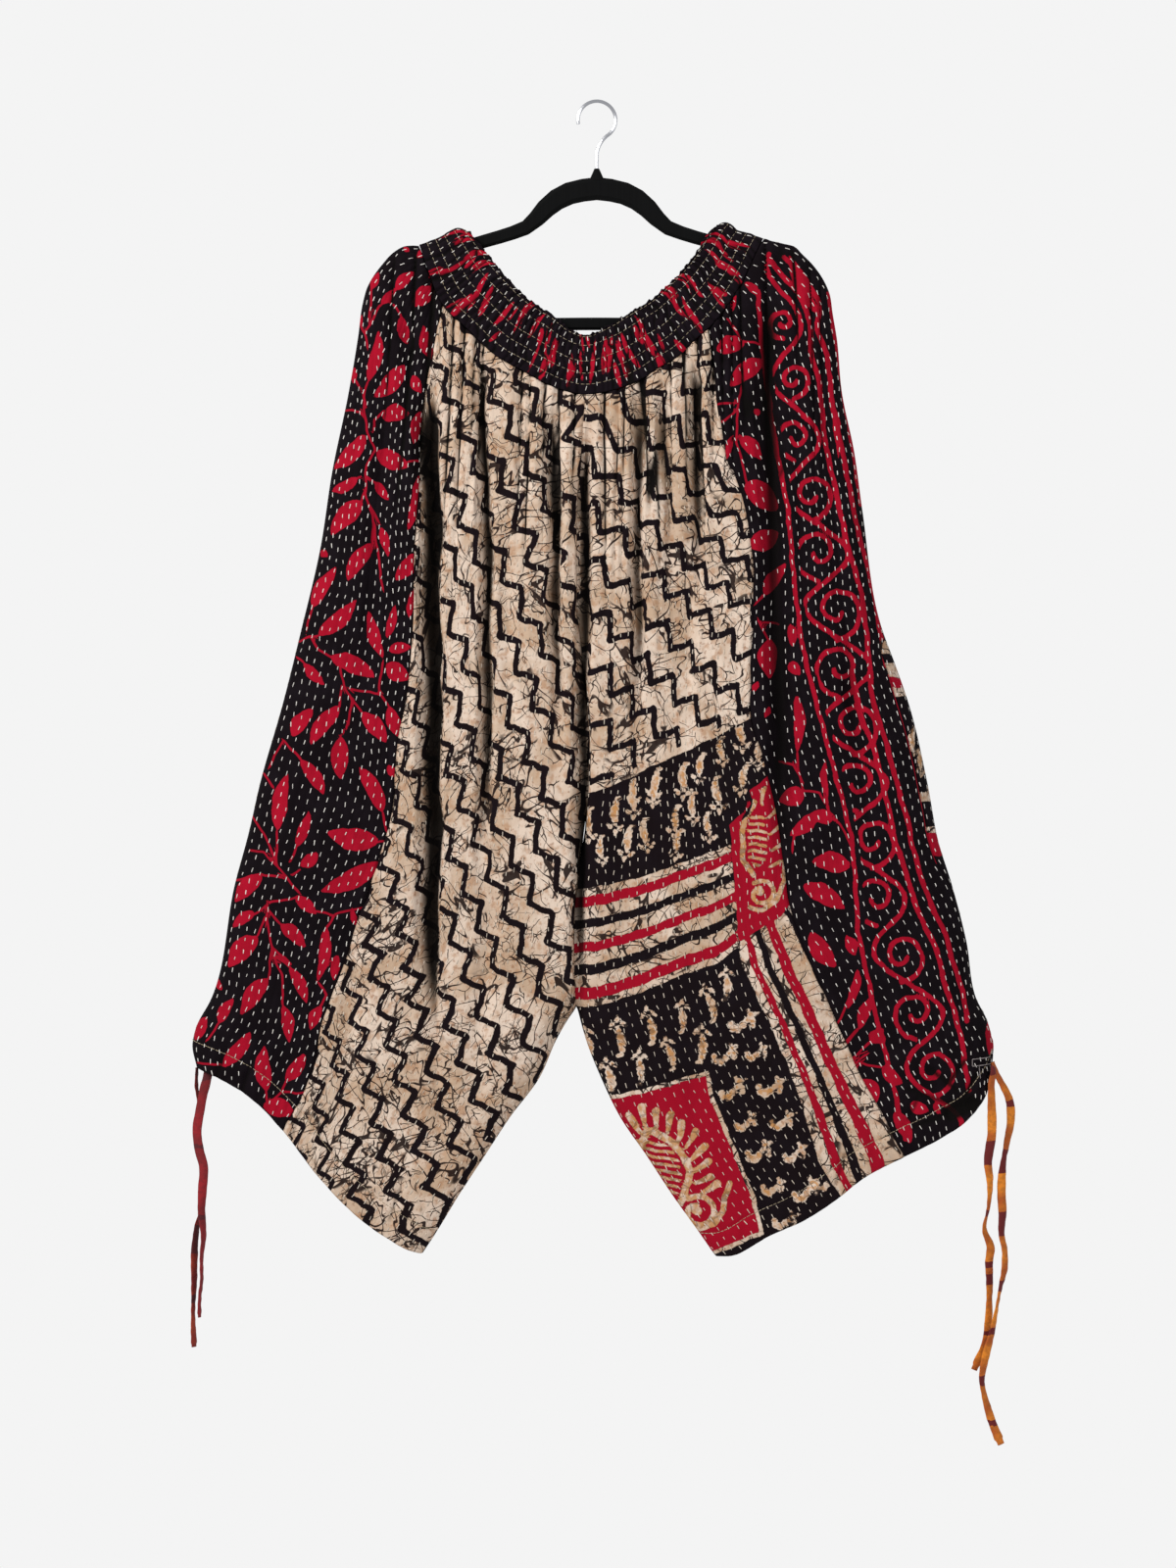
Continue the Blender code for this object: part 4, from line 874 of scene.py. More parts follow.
def numbers(items, key, wide=1, kind=np.float32):
    """One property of many items, as rows this wide."""
    values = np.empty(len(items) * wide, kind)
    items.foreach_get(key, values)
    return values.reshape(-1, wide) if wide > 1 else values


def shaped_grid(name, face, finish, thickness, values, flat_place, outward=None):
    """A cloth piece: a grid of faces shaped to rows of points from the top down, with its wall behind it.
    values are kept on the points by name, flat_place is where each lies on the flat cloth, and outward is
    the way its faces are to look."""
    rows, columns = face.shape[0] - 1, face.shape[1] - 1
    bm = bmesh.new()
    bmesh.ops.create_grid(bm, x_segments=columns, y_segments=rows, size=0.5)
    mesh = mesh_of(bm, name)
    flat = numbers(mesh.vertices, "co", 3)
    i = np.rint((flat[:, 0] + 0.5) * columns).astype(int)
    j = np.rint((0.5 - flat[:, 1]) * rows).astype(int)
    mesh.vertices.foreach_set("co", face[j, i].astype(np.float32).ravel())
    mesh.update()
    for key, value in values.items():
        layer = mesh.attributes.new(key, "FLOAT", "POINT")
        layer.data.foreach_set("value", np.clip(value, -FAR, FAR)[j, i].astype(np.float32).ravel())
    corners = numbers(mesh.loops, "vertex_index", kind=np.int32)
    uv = mesh.uv_layers.new(name="cloth")
    uv.data.foreach_set("uv", flat_place[j, i][corners].astype(np.float32).ravel())
    if outward is not None and (numbers(mesh.vertices, "normal", 3) * outward[j, i]).sum() < 0:
        mesh.flip_normals()
    mesh.shade_smooth()
    obj = linked(name, mesh, finish)
    wall = obj.modifiers.new("wall", "SOLIDIFY")
    wall.thickness = thickness
    wall.offset = -1.0
    return obj


def stitch_shape():
    """One stitch, lying along x and sunk at its ends and sides."""
    bm = bmesh.new()
    bmesh.ops.create_cube(bm, size=1.0)
    for vert in bm.verts:
        if vert.co.z > 0:
            vert.co.x *= 0.72
            vert.co.y *= 0.55
        else:
            vert.co.z = -0.35
    return mesh_of(bm, "stitch_shape")


def tiled(name, base, stitches, finish):
    """One object of many copies of a small mesh, each set on a surface."""
    middles, along, normals, sizes = stitches
    points = numbers(base.vertices, "co", 3)
    axes = np.stack([along, np.cross(normals, along), normals], axis=1) * sizes[..., None]
    spots = middles[:, None] + points @ axes
    corners = numbers(base.loops, "vertex_index", kind=np.int32)
    starts = numbers(base.polygons, "loop_start", kind=np.int32)
    step = np.arange(len(middles), dtype=np.int32)[:, None]
    mesh = bpy.data.meshes.new(name)
    mesh.vertices.add(spots.shape[0] * spots.shape[1])
    mesh.vertices.foreach_set("co", spots.astype(np.float32).ravel())
    mesh.loops.add(len(step) * len(corners))
    mesh.loops.foreach_set("vertex_index", (corners + step * len(points)).ravel())
    mesh.polygons.add(len(step) * len(starts))
    mesh.polygons.foreach_set("loop_start", (starts + step * len(corners)).ravel())
    mesh.update(calc_edges=True)
    mesh.shade_smooth()
    return linked(name, mesh, finish)


# Stitching: each stitch's middle, the ways it runs and faces, and its length, width and height


def sample(grid, row, column):
    """Values between the points of a grid, at fractional rows and columns."""
    j = np.clip(np.floor(row).astype(int), 0, grid.shape[0] - 2)
    i = np.clip(np.floor(column).astype(int), 0, grid.shape[1] - 2)
    a, b = (row - j)[..., None], (column - i)[..., None]
    above = grid[j, i] * (1 - b) + grid[j, i + 1] * b
    below = grid[j + 1, i] * (1 - b) + grid[j + 1, i + 1] * b
    return above * (1 - a) + below * a


def together(parts):
    """Several sets of stitches as one."""
    return Stitches(*map(np.concatenate, zip(*parts)))


def turn_of(number):
    """A fraction between 0 and 1 that spreads the numbers 0, 1, 2 and so on as evenly as it can."""
    share, step = 0.0, 0.5
    while number:
        share, number, step = share + step * (number % 2), number // 2, step / 2
    return share


def running_rows(face, normal, fold, wanted, seed, pitch=0.0112, length=0.0046, width=0.0009, least=0.0092):
    """Rows of running stitch down a piece. Where it narrows, some of its rows are hidden in the gathers,
    and none show deep in a fold."""
    random = np.random.RandomState(seed)
    last = len(face) - 1
    marks = np.arange(last + 1.0)
    runs = run_of(face * (1.0, 0.4, 1.0), axis=1)  # depth counts for less, so that folds keep few rows
    shown = runs[:, -1] / wanted / least
    parts = []
    for k in range(wanted):
        share = (k + 0.5) / wanted
        column = np.array([np.interp(share * run[-1], run, np.arange(len(run))) for run in runs])
        run = run_of(sample(face, marks, column))
        places = np.arange(random.uniform(0.002, pitch), run[-1] - 0.003, pitch)
        row = np.interp(places + random.uniform(-0.0011, 0.0011, len(places)), run, marks)
        row = row[np.interp(row, marks, shown) + random.uniform(-0.05, 0.05, len(row)) > turn_of(k)]
        row = row[sample(fold[..., None], row, np.interp(row, marks, column))[:, 0] < FOLD_HIDES]
        if len(row) == 0:
            continue
        across = np.interp(row, marks, column) + random.uniform(-0.12, 0.12, len(row))
        above, below = [sample(face, np.clip(row + s, 0, last), across) for s in (-0.8, 0.8)]
        out = unit(sample(normal, row, across))
        side = unit(np.cross(out, below - above))
        lean = random.normal(0.0, 0.12, (len(row), 1))
        along = unit(below - above) * np.cos(lean) + side * np.sin(lean)
        long = length * random.uniform(0.72, 1.2, len(row))
        wide = width * random.uniform(0.8, 1.15, len(row))
        sizes = np.stack(np.broadcast_arrays(long, wide, 0.0007), axis=1)
        parts.append(Stitches(sample(face, row, across) + out * 0.00008, along, out, sizes))
    return together(parts)


def line_stitches(path, out, pitch, length, width, seed, height=0.0006):
    """Stitches along a line of points on a piece."""
    random = np.random.RandomState(seed)
    run = run_of(path)
    places = np.arange(pitch / 2, run[-1] - pitch / 2, pitch)
    places = places + random.uniform(-0.08, 0.08, len(places)) * pitch
    spot = read(path, run, places)
    ahead = unit(read(path, run, places + 0.001) - spot)
    normal = unit(read(out, run, places))
    long = length * random.uniform(0.85, 1.1, len(places))
    sizes = np.stack(np.broadcast_arrays(long, width, height), axis=1)
    return Stitches(spot + normal * 0.0001, ahead, normal, sizes)


# Materials


def new_material(name, **inputs):
    """A material with its plain inputs, its node tree, and the inputs of its surface."""
    made = bpy.data.materials.new(name)
    made.use_nodes = True
    shader = made.node_tree.nodes["Principled BSDF"].inputs
    for key, value in inputs.items():
        shader[key.replace("_", " ")].default_value = value
    return made, made.node_tree, shader


def put(tree, socket, value):
    """Sets an input to a number or a colour, or links an output to it."""
    if isinstance(value, bpy.types.NodeSocket):
        tree.links.new(value, socket)
    else:
        socket.default_value = value


def add(tree, kind, inputs=(), **settings):
    """Adds a node and gives its outputs."""
    node = tree.nodes.new("ShaderNode" + kind)
    for key, value in settings.items():
        setattr(node, key, value)
    for key, value in dict(inputs).items():
        put(tree, node.inputs[key], value)
    return node.outputs


def maths(tree, operation, *values):
    return add(tree, "Math", enumerate(values), operation=operation)[0]


def fade(tree, value, low, high, first=0.0, last=1.0):
    """Runs softly from first to last while the value runs from low to high."""
    inputs = {"Value": value, "From Min": low, "From Max": high, "To Min": first, "To Max": last}
    return add(tree, "MapRange", inputs, interpolation_type="SMOOTHSTEP")["Result"]


def mixed(tree, factor, a, b):
    return add(tree, "Mix", {0: factor, 6: a, 7: b}, data_type="RGBA")[2]


def noise(tree, place, scale, detail=2.0, distortion=0.0):
    """Cloudy noise: its value, then its colour."""
    inputs = {"Vector": place, "Scale": scale, "Detail": detail, "Distortion": distortion}
    return add(tree, "TexNoise", inputs, noise_dimensions="2D")


def attribute(tree, name):
    return add(tree, "Attribute", attribute_name=name)["Fac"]


def cloth_place(tree):
    """Where a point lies on the flat cloth."""
    return add(tree, "UVMap", uv_map="cloth")[0]


def scaled(tree, place, scale):
    return add(tree, "VectorMath", {0: place, 1: scale}, operation="MULTIPLY")[0]


def bumped(tree, height, strength, distance):
    return add(tree, "Bump", {"Height": height, "Strength": strength, "Distance": distance})[0]


def colour(*shade):
    """A colour in the eye's 0-255 scale, as linear light."""
    levels = [v / 255 for v in shade]
    return (*(v / 12.92 if v < 0.0404 else ((v + 0.055) / 1.055) ** 2.4 for v in levels), 1.0)


def new_group(name, inputs, output, kind):
    """A node group with one output: its tree, what it is given, and the input that takes its result."""
    group = bpy.data.node_groups.new(name, "ShaderNodeTree")
    for key, given in inputs.items():
        group.interface.new_socket(key, in_out="INPUT", socket_type="NodeSocket" + given)
    group.interface.new_socket(output, in_out="OUTPUT", socket_type="NodeSocket" + kind)
    given = group.nodes.new("NodeGroupInput").outputs
    return group, given, group.nodes.new("NodeGroupOutput").inputs[output]


def wax_ground_group():
    """Cream cotton that was waxed and dyed: mottled, with dark hairlines where the wax cracked."""
    tree, given, out = new_group("waxed_cotton_ground", {"Place": "Vector", "Ochre": "Float"}, "Color", "Color")
    place, ochre = given["Place"], given["Ochre"]
    warped = {0: noise(tree, place, 30.0)[1], 1: (0.030, 0.030, 0.0), 2: place}
    warped = add(tree, "VectorMath", warped, operation="MULTIPLY_ADD")[0]
    worn = fade(tree, add(tree, "SeparateXYZ", {0: place})["Y"], -0.98, -0.80, 0.03, 0.0)

    cracks = []
    for scale, width, low, high in ((52.0, 0.036, 0.34, 0.46), (105.0, 0.062, 0.50, 0.58)):
        cells = {"Vector": warped, "Scale": scale}
        cells = add(tree, "TexVoronoi", cells, voronoi_dimensions="2D", feature="DISTANCE_TO_EDGE")
        line = fade(tree, cells["Distance"], width * 0.55, width * 0.9, 1.0, 0.0)
        zone = maths(tree, "ADD", noise(tree, place, 9.0 + scale / 12)[0], worn)
        line = maths(tree, "MULTIPLY", line, fade(tree, zone, low, high))
        ticks = fade(tree, noise(tree, place, 55.0, 1.0)[0], 0.42, 0.50)
        cracks.append(maths(tree, "MULTIPLY", line, ticks))
    for angle, low in ((0.75, 0.52), (-0.55, 0.53), (1.75, 0.52), (-1.15, 0.56)):
        turned = {"Vector": place, "Rotation": (0.0, 0.0, angle), "Scale": (1.0, 2.8, 1.0),
                  "Location": (angle, 2.0 * angle, 0.0)}
        turned = add(tree, "Mapping", turned, vector_type="TEXTURE")[0]
        level = maths(tree, "SUBTRACT", noise(tree, turned, 58.0, 1.2)[0], 0.5)
        scratch = fade(tree, maths(tree, "ABSOLUTE", level), 0.013, 0.023, 1.0, 0.0)
        zone = maths(tree, "ADD", noise(tree, turned, 21.0)[0], worn)
        cracks.append(maths(tree, "MULTIPLY", scratch, fade(tree, zone, low, low + 0.05)))
    crack = cracks[0]
    for line in cracks[1:]:
        crack = maths(tree, "MAXIMUM", crack, line)
    crack = maths(tree, "MULTIPLY", crack, fade(tree, ochre, 0.0, 1.0, 1.0, 0.45))

    broad = fade(tree, noise(tree, place, 17.0, 4.0, 0.6)[0], 0.35, 0.68)
    fine = fade(tree, noise(tree, place, 95.0, 4.0)[0], 0.48, 0.72, 0.0, 0.62)
    spots = fade(tree, noise(tree, place, 210.0)[0], 0.60, 0.72, 0.0, 0.5)
    aged = fade(tree, noise(tree, place, 130.0)[0], 0.32, 0.60, 0.15 * 0.8, 0.8)
    ground = mixed(tree, broad, colour(224, 202, 182), colour(194, 165, 138))
    for share, shade in (
        (fine, (176, 130, 94)), (spots, (140, 88, 56)), (maths(tree, "MULTIPLY", ochre, aged), (190, 130, 66)),
        (maths(tree, "MULTIPLY", crack, 0.97), (32, 19, 18)),
    ):
        ground = mixed(tree, share, ground, colour(*shade))
    put(tree, out, ground)
    return tree


def cotton_surface_group():
    """The feel of quilted cotton: its weave, and soft puckers between the rows of stitching."""
    tree, given, out = new_group(
        "quilted_cotton_surface", {"Place": "Vector", "Row": "Float", "Strength": "Float"}, "Normal", "Vector"
    )
    place = given["Place"]
    row = maths(tree, "ABSOLUTE", maths(tree, "SINE", maths(tree, "MULTIPLY", given["Row"], math.pi)))
    height = maths(tree, "MULTIPLY", row, noise(tree, scaled(tree, place, (1.0, 0.6, 1.0)), 150.0)[0])
    height = maths(tree, "MULTIPLY_ADD", noise(tree, place, 60.0)[0], 0.8, height)
    weave = add(tree, "TexChecker", {"Vector": place, "Scale": 1500.0})["Fac"]
    height = maths(tree, "MULTIPLY_ADD", weave, 0.05, height)
    put(tree, out, bumped(tree, height, given["Strength"], 0.0016))
    return tree


def print_colours_group():
    """The print's colour over the dark ground, from the distances to its cream, its red and its stems, with
    painted shade darkening the folds.
    """
    cream_ground = wax_ground_group()
    sockets = {"Place": "Vector", "Ground": "Color", "Reds": "Color"}
    sockets.update({key: "Float" for key in (*PRINTS, "fold")})
    tree, given, out = new_group("print_colours", sockets, "Color", "Color")
    place = given["Place"]
    ripple = maths(tree, "MULTIPLY_ADD", noise(tree, place, 420.0)[0], 1.1, -0.55)

    def inside(key):
        return fade(tree, maths(tree, "ADD", given[key], ripple), -0.35, 0.35, 1.0, 0.0)

    ochre = fade(tree, given["ochre"], -0.2, 0.4, 1.0, 0.0)
    cream = add(tree, "Group", {"Place": place, "Ochre": ochre}, node_tree=cream_ground)["Color"]
    worn = fade(tree, noise(tree, place, 34.0, 3.0)[0], 0.35, 0.8, 0.0, 0.5)
    base = mixed(tree, worn, given["Ground"], colour(25, 18, 24))
    deeper = fade(tree, noise(tree, place, 48.0, 3.0)[0], 0.3, 0.7)
    reds = mixed(tree, deeper, given["Reds"], colour(156, 10, 34))
    stem = fade(tree, maths(tree, "ABSOLUTE", given["stem_side"]), 0.8, 1.35, 0.9, 0.0)
    stem = maths(tree, "MULTIPLY", stem, maths(tree, "LESS_THAN", given["stem"], 2.6))
    base = mixed(tree, maths(tree, "MAXIMUM", inside("red"), stem), base, reds)
    base = mixed(tree, inside("cream"), base, cream)
    # Painted shade: the fold value darkens the cloth towards near black in creases, gathers and hem pulls.
    painted_fold_shade = fade(tree, given["fold"], 0.17, 0.60, 0.0, 0.985)
    put(tree, out, mixed(tree, painted_fold_shade, base, colour(10, 7, 6)))
    return tree


def printed_cotton(name, groups, ground=(14, 7, 11), red=(166, 12, 38), puckers=0.55):
    """Cotton whose print is read from the distances on the piece: cream, red and dark ground."""
    made, tree, shader = new_material(name, Roughness=0.86, Specular_IOR_Level=0.08)
    place = cloth_place(tree)
    inputs = {"Place": place, "Ground": colour(*ground), "Reds": colour(*red)}
    inputs.update({key: attribute(tree, key) for key in (*PRINTS, "fold")})
    put(tree, shader["Base Color"], add(tree, "Group", inputs, node_tree=groups[0])["Color"])
    inputs = {"Place": place, "Row": attribute(tree, "row"), "Strength": puckers}
    put(tree, shader["Normal"], add(tree, "Group", inputs, node_tree=groups[1])["Normal"])
    return made


def speckled(name, scale, limits, first, second, **inputs):
    """A finish that varies between two shades."""
    made, tree, shader = new_material(name, **inputs)
    grain = noise(tree, add(tree, "TexCoord")["Object"], scale)[0]
    if limits:
        grain = fade(tree, grain, *limits)
    put(tree, shader["Base Color"], mixed(tree, grain, colour(*first), colour(*second)))
    return made


def thread(name, *shade):
    darker = [v * 0.82 for v in shade]
    return speckled(name, 300.0, (0.35, 0.7), shade, darker, Roughness=0.8, Specular_IOR_Level=0.25)


def tape_cotton(name, main, deep, band):
    """Narrow cotton tape, unevenly dyed, with dark bands across it."""
    made, tree, shader = new_material(name, Roughness=0.84, Sheen_Weight=0.05)
    place = cloth_place(tree)
    dyed = noise(tree, scaled(tree, place, (0.45, 1.0, 1.0)), 30.0, 2.5)[0]
    base = mixed(tree, fade(tree, dyed, 0.36, 0.62), colour(*main), colour(*deep))
    streaks = fade(tree, noise(tree, place, 260.0)[0], 0.4, 0.7, 0.0, 0.4)
    base = mixed(tree, streaks, base, colour(*[v * 0.6 for v in main]))
    banded = maths(tree, "ADD", attribute(tree, "band"), noise(tree, place, 150.0)[0])
    put(tree, shader["Base Color"], mixed(tree, fade(tree, banded, 0.9, 1.2), base, colour(*band)))
    put(tree, shader["Normal"], bumped(tree, noise(tree, place, 700.0)[0], 0.4, 0.0005))
    return made


# The garment


def dip_at(distance, depth=0.0008, width=0.0016):
    """A soft groove along a line at this distance."""
    return depth * np.exp(-((distance / width) ** 2))


def hem_form(face, normal, rise, phase):
    """The drawstring's casing along the foot of a panel: a soft tube with small gathers, and its stitch
    line. Also how far each point is from the hem."""
    up = run_of(face)[-1] - run_of(face)
    puff = 0.0011 * np.sin(math.pi * np.clip(up / HEM_CASING, 0.0, 1.0)) ** 0.8
    pull = 0.0008 * wander(face[..., 0] * 1.25 + phase, 31, 0.024) * smooth(0.07, 0.0, up)
    form = puff + pull - dip_at(up - HEM_CASING, 0.0009, 0.0018)
    return face + normal * (form * np.clip(rise, 0.15, 1.0))[..., None], up


def gathers(face, down, seed):
    """Small folds that run down from the waistband and die out: their height, and the painted shade in their
    valleys.
    """
    across = face[..., 0]
    strength = smooth(GATHER_REACH + 0.13 * wander(across, seed + 2, 0.037), 0.004, down)
    phase = across * (1 - 0.35 * np.clip(down, 0.0, 0.3)) / GATHER_PITCH
    phase = phase + 0.8 * wander(across + 0.04 * down, seed, 0.075)
    wave = np.abs(np.sin(math.pi * phase)) ** 0.6
    return strength * GATHER_HEIGHT * (wave - 0.7), strength * np.clip(1.2 - 1.9 * wave, 0.0, 1.0)


def tucked(face):
    """How deep the hems' pulls are at each point of the front, which also sets their painted shade."""
    deep = np.zeros(face.shape[:2])
    for c in TUCKS:
        gap, t = to_stretch(face[..., 0], face[..., 2], (c.x_top, c.z_top), (c.x_foot, c.z_foot))
        taper = np.clip(np.minimum(t, 1 - t) * 5 + 0.15, 0.0, 1.0)
        deep = np.maximum(deep, c.share * taper * np.exp(-((gap / c.width) ** 2)))
    return deep * (face[..., 1] < 0)


def cloth_values(prints, fold, row):
    """What a cloth piece keeps on its points: the distances of its print, its folds, which the material paints
    as shade, and its stitch rows.
    """
    values = {key: np.full(row.shape, FAR) for key in PRINTS}
    return {**values, **prints, "fold": np.clip(fold, 0.0, 1.0), "row": row}


def make_panel(
    key, slot, finish, draw, place, sizes, side, edges, seed, wrapped=None, trim=None, row_gap=0.0088
):
    """One leg or side panel, of sizes (columns, rows). A panel that wraps round its fold edge also gets the
    back's patch, how far it reaches over the front's, and the back's columns: its columns then run from the
    front's seam to the back's. trim is where a red edge starts and ends."""
    columns, rows = sizes
    vs = np.linspace(SEAM_START, 1.0, rows + 1)
    if wrapped:
        back_place, reach, back_columns = wrapped
        anchor = columns // 3
        share, v = np.meshgrid(np.linspace(1.0, 0.0, columns + 1) ** SIDE_EASE, vs)
        front = hung(place(share * reach(vs)[:, None], v), FRONT, edges)
        share, v = np.meshgrid(np.linspace(0.0, 1.0, back_columns + 1)[1:] ** SIDE_EASE, vs)
        back = hung(back_place(share, v), BACK, edges)
        face, fold, rise = [np.concatenate(pair, axis=1) for pair in zip(front, back)]
    else:
        anchor = columns // 2
        face, fold, rise = hung(place(*np.meshgrid(np.linspace(0.0, 1.0, columns + 1), vs)), side, edges)
    normal = facing(face, side, anchor)
    for end, beside in ((0, 1), (-1, -2)):
        face[:, end] += (unit(face[:, end] - face[:, beside]) - normal[:, end]) * SEAM_LAP

    run, down = run_of(face, axis=1), run_of(face)
    wide = run[:, -1:]
    x, z = face[..., 0], face[..., 2]
    lift, painted_gather_shade = gathers(face, down, seed)
    tuck = tucked(face)
    # The fold value, which the material paints as shade: the creases' depth, the gathers' painted shade and the
    # hem pulls.
    fold = np.maximum(fold, np.maximum(painted_gather_shade * rise, tuck))
    lift += 0.0007 * wander(x + 0.3 * z, seed + 3, 0.047) + 0.0009 * wander(z + 0.6 * x, seed + 5, 0.11)
    lift = (lift - TUCK_DEPTH * tuck) * rise - dip_at(run) - dip_at(wide - run) - dip_at(down, 0.0010, 0.0025)
    face, up = hem_form(face + normal * lift[..., None], normal, rise, seed * 0.1)

    # Where each point lies on the flat cloth: measured along the row from a column that stays put.
    x, z = face[..., 0], face[..., 2]
    across = run - run[:, anchor : anchor + 1]
    if x[rows // 2, 0] > x[rows // 2, anchor]:
        across = -across
    across = across + x[:, anchor : anchor + 1]
    stitch_rows = round(float(np.median(wide)) / row_gap)
    values = cloth_values(draw(x * 1000, z * 1000, across * 1000), fold, run / wide * stitch_rows)
    if trim:
        beside = np.maximum((wide - run) * 1000 - 2.8, np.maximum(z - trim[0], trim[1] - z) * 1000)
        values["red"] = np.minimum(values["red"], beside)
    obj = shaped_grid(key + "_cloth", face, finish, CLOTH, values, np.stack([across, z], axis=-1), normal)
    return Panel(obj, face, normal, values["fold"], up, stitch_rows, slot)


def make_band(key, slot, finish, place, sizes, side, edges):
    """The shirred waistband: gathers pinched at its rows of thread, with a small frill above them."""
    columns, rows = sizes
    us, vs = np.linspace(0.0, 1.0, columns + 1), np.linspace(0.0, 0.999, rows + 1)
    face, _, rise = hung(place(*np.meshgrid(us, vs)), side, edges, BAND_GAP)
    normal = facing(face, side, columns // 2)
    run = run_of(face[rows // 2])
    u, v = np.meshgrid(run - run[-1] / 2, vs)
    ripple = u / SHIRR_PITCH + 0.75 * wander(u, 3, 0.043) + 0.4 * wander(v + 4 * u, 8, 0.9)
    wave = np.abs(np.sin(math.pi * ripple)) ** 0.7
    pinch = np.prod([1 - 0.78 * np.exp(-(((v - mark) / 0.04) ** 2)) for mark in SHIRRING], axis=0)
    frill = smooth(0.10, 0.0, v)
    lift = SHIRR_HEIGHT * (1 + 0.45 * wander(u, 17, 0.029)) * (wave - 0.6) * (0.3 + 0.7 * pinch)
    lift += 0.0009 * (pinch - 0.6)
    lift += frill * 0.0012 * np.sin(2 * math.pi * u / 0.0125 + 2 * wander(u, 9, 0.05))
    face = face + normal * (lift * np.clip(rise, 0.25, 1.0))[..., None]
    face[..., 2] += frill * 0.0013 * wander(u, 21, 0.017)
    tall = np.linalg.norm(face[0] - face[-1], axis=1) * 1000
    # The fold value here is painted shade in the valleys between the gathers.
    values = cloth_values(band_print(u * 1000, (1 - v) * tall), 0.80 - wave * 0.95, ripple)
    flat_place = np.stack([u, face[..., 2]], axis=-1)
    obj = shaped_grid(key + "_cloth", face, finish, BAND_CLOTH, values, flat_place, normal)
    return Panel(obj, face, normal, None, None, 46 if side == FRONT else 36, slot)


def make_tape(name, rows, marks, finish):
    """A flat tape that twists as it hangs, and the line along its middle."""
    rows = np.array(rows)
    t = np.linspace(0.0, 1.0, round(run_of(rows[:, :3])[-1] / TAPE_STEP) + 1)
    route = at(through(rows[:, :3]), t)
    turns = np.stack([rows[:, 3], 12.0 * np.arange(len(rows))], axis=1)
    turn = np.radians(at(through(turns), t)[:, 0])
    along = unit(np.gradient(route, axis=0))
    across = np.stack([np.cos(turn), np.sin(turn), 0 * turn], axis=1)
    across = unit(across - along * (across * along).sum(1, keepdims=True))
    share, run = np.meshgrid(np.linspace(-0.5, 0.5, 9), t * run_of(route)[-1])
    wide = share * TAPE_WIDTH * (1 + 0.05 * wander(run, 12, 0.03)) * (1 - 0.25 * (t > 0.985))[:, None]
    curl = 0.0011 * (1 - 4 * share * share) + 0.0004 * wander(run + 0.01 * np.arange(9), 14, 0.02)
    thick = np.cross(along, across)
    face = route[:, None] + across[:, None] * wide[..., None] + thick[:, None] * curl[..., None]
    band = np.clip(0.5 - bands(-face[..., 2], marks) / 0.0012, 0.0, 1.0)
    flat_place = np.stack([share * TAPE_WIDTH, run], axis=-1)
    obj = shaped_grid(name, face, finish, TAPE_THICKNESS, {"band": band}, flat_place)
    obj.modifiers["wall"].offset = 0.0
    return obj, route


def side_lines(rows, shoulder):
    """A fold edge: its line with the turns along it, its part beside the waistband, and the rest."""
    line = through([row[:2] for row in rows])
    marks = [where(line, row[:2]) for row in rows]
    shares = np.linspace(0.0, 1.0, TURN_SAMPLES)
    turns = np.interp(shares, marks, [row.turn for row in rows])
    return (at(line, shares), turns), stretch(line, 0.0, marks[shoulder]), stretch(line, marks[shoulder])


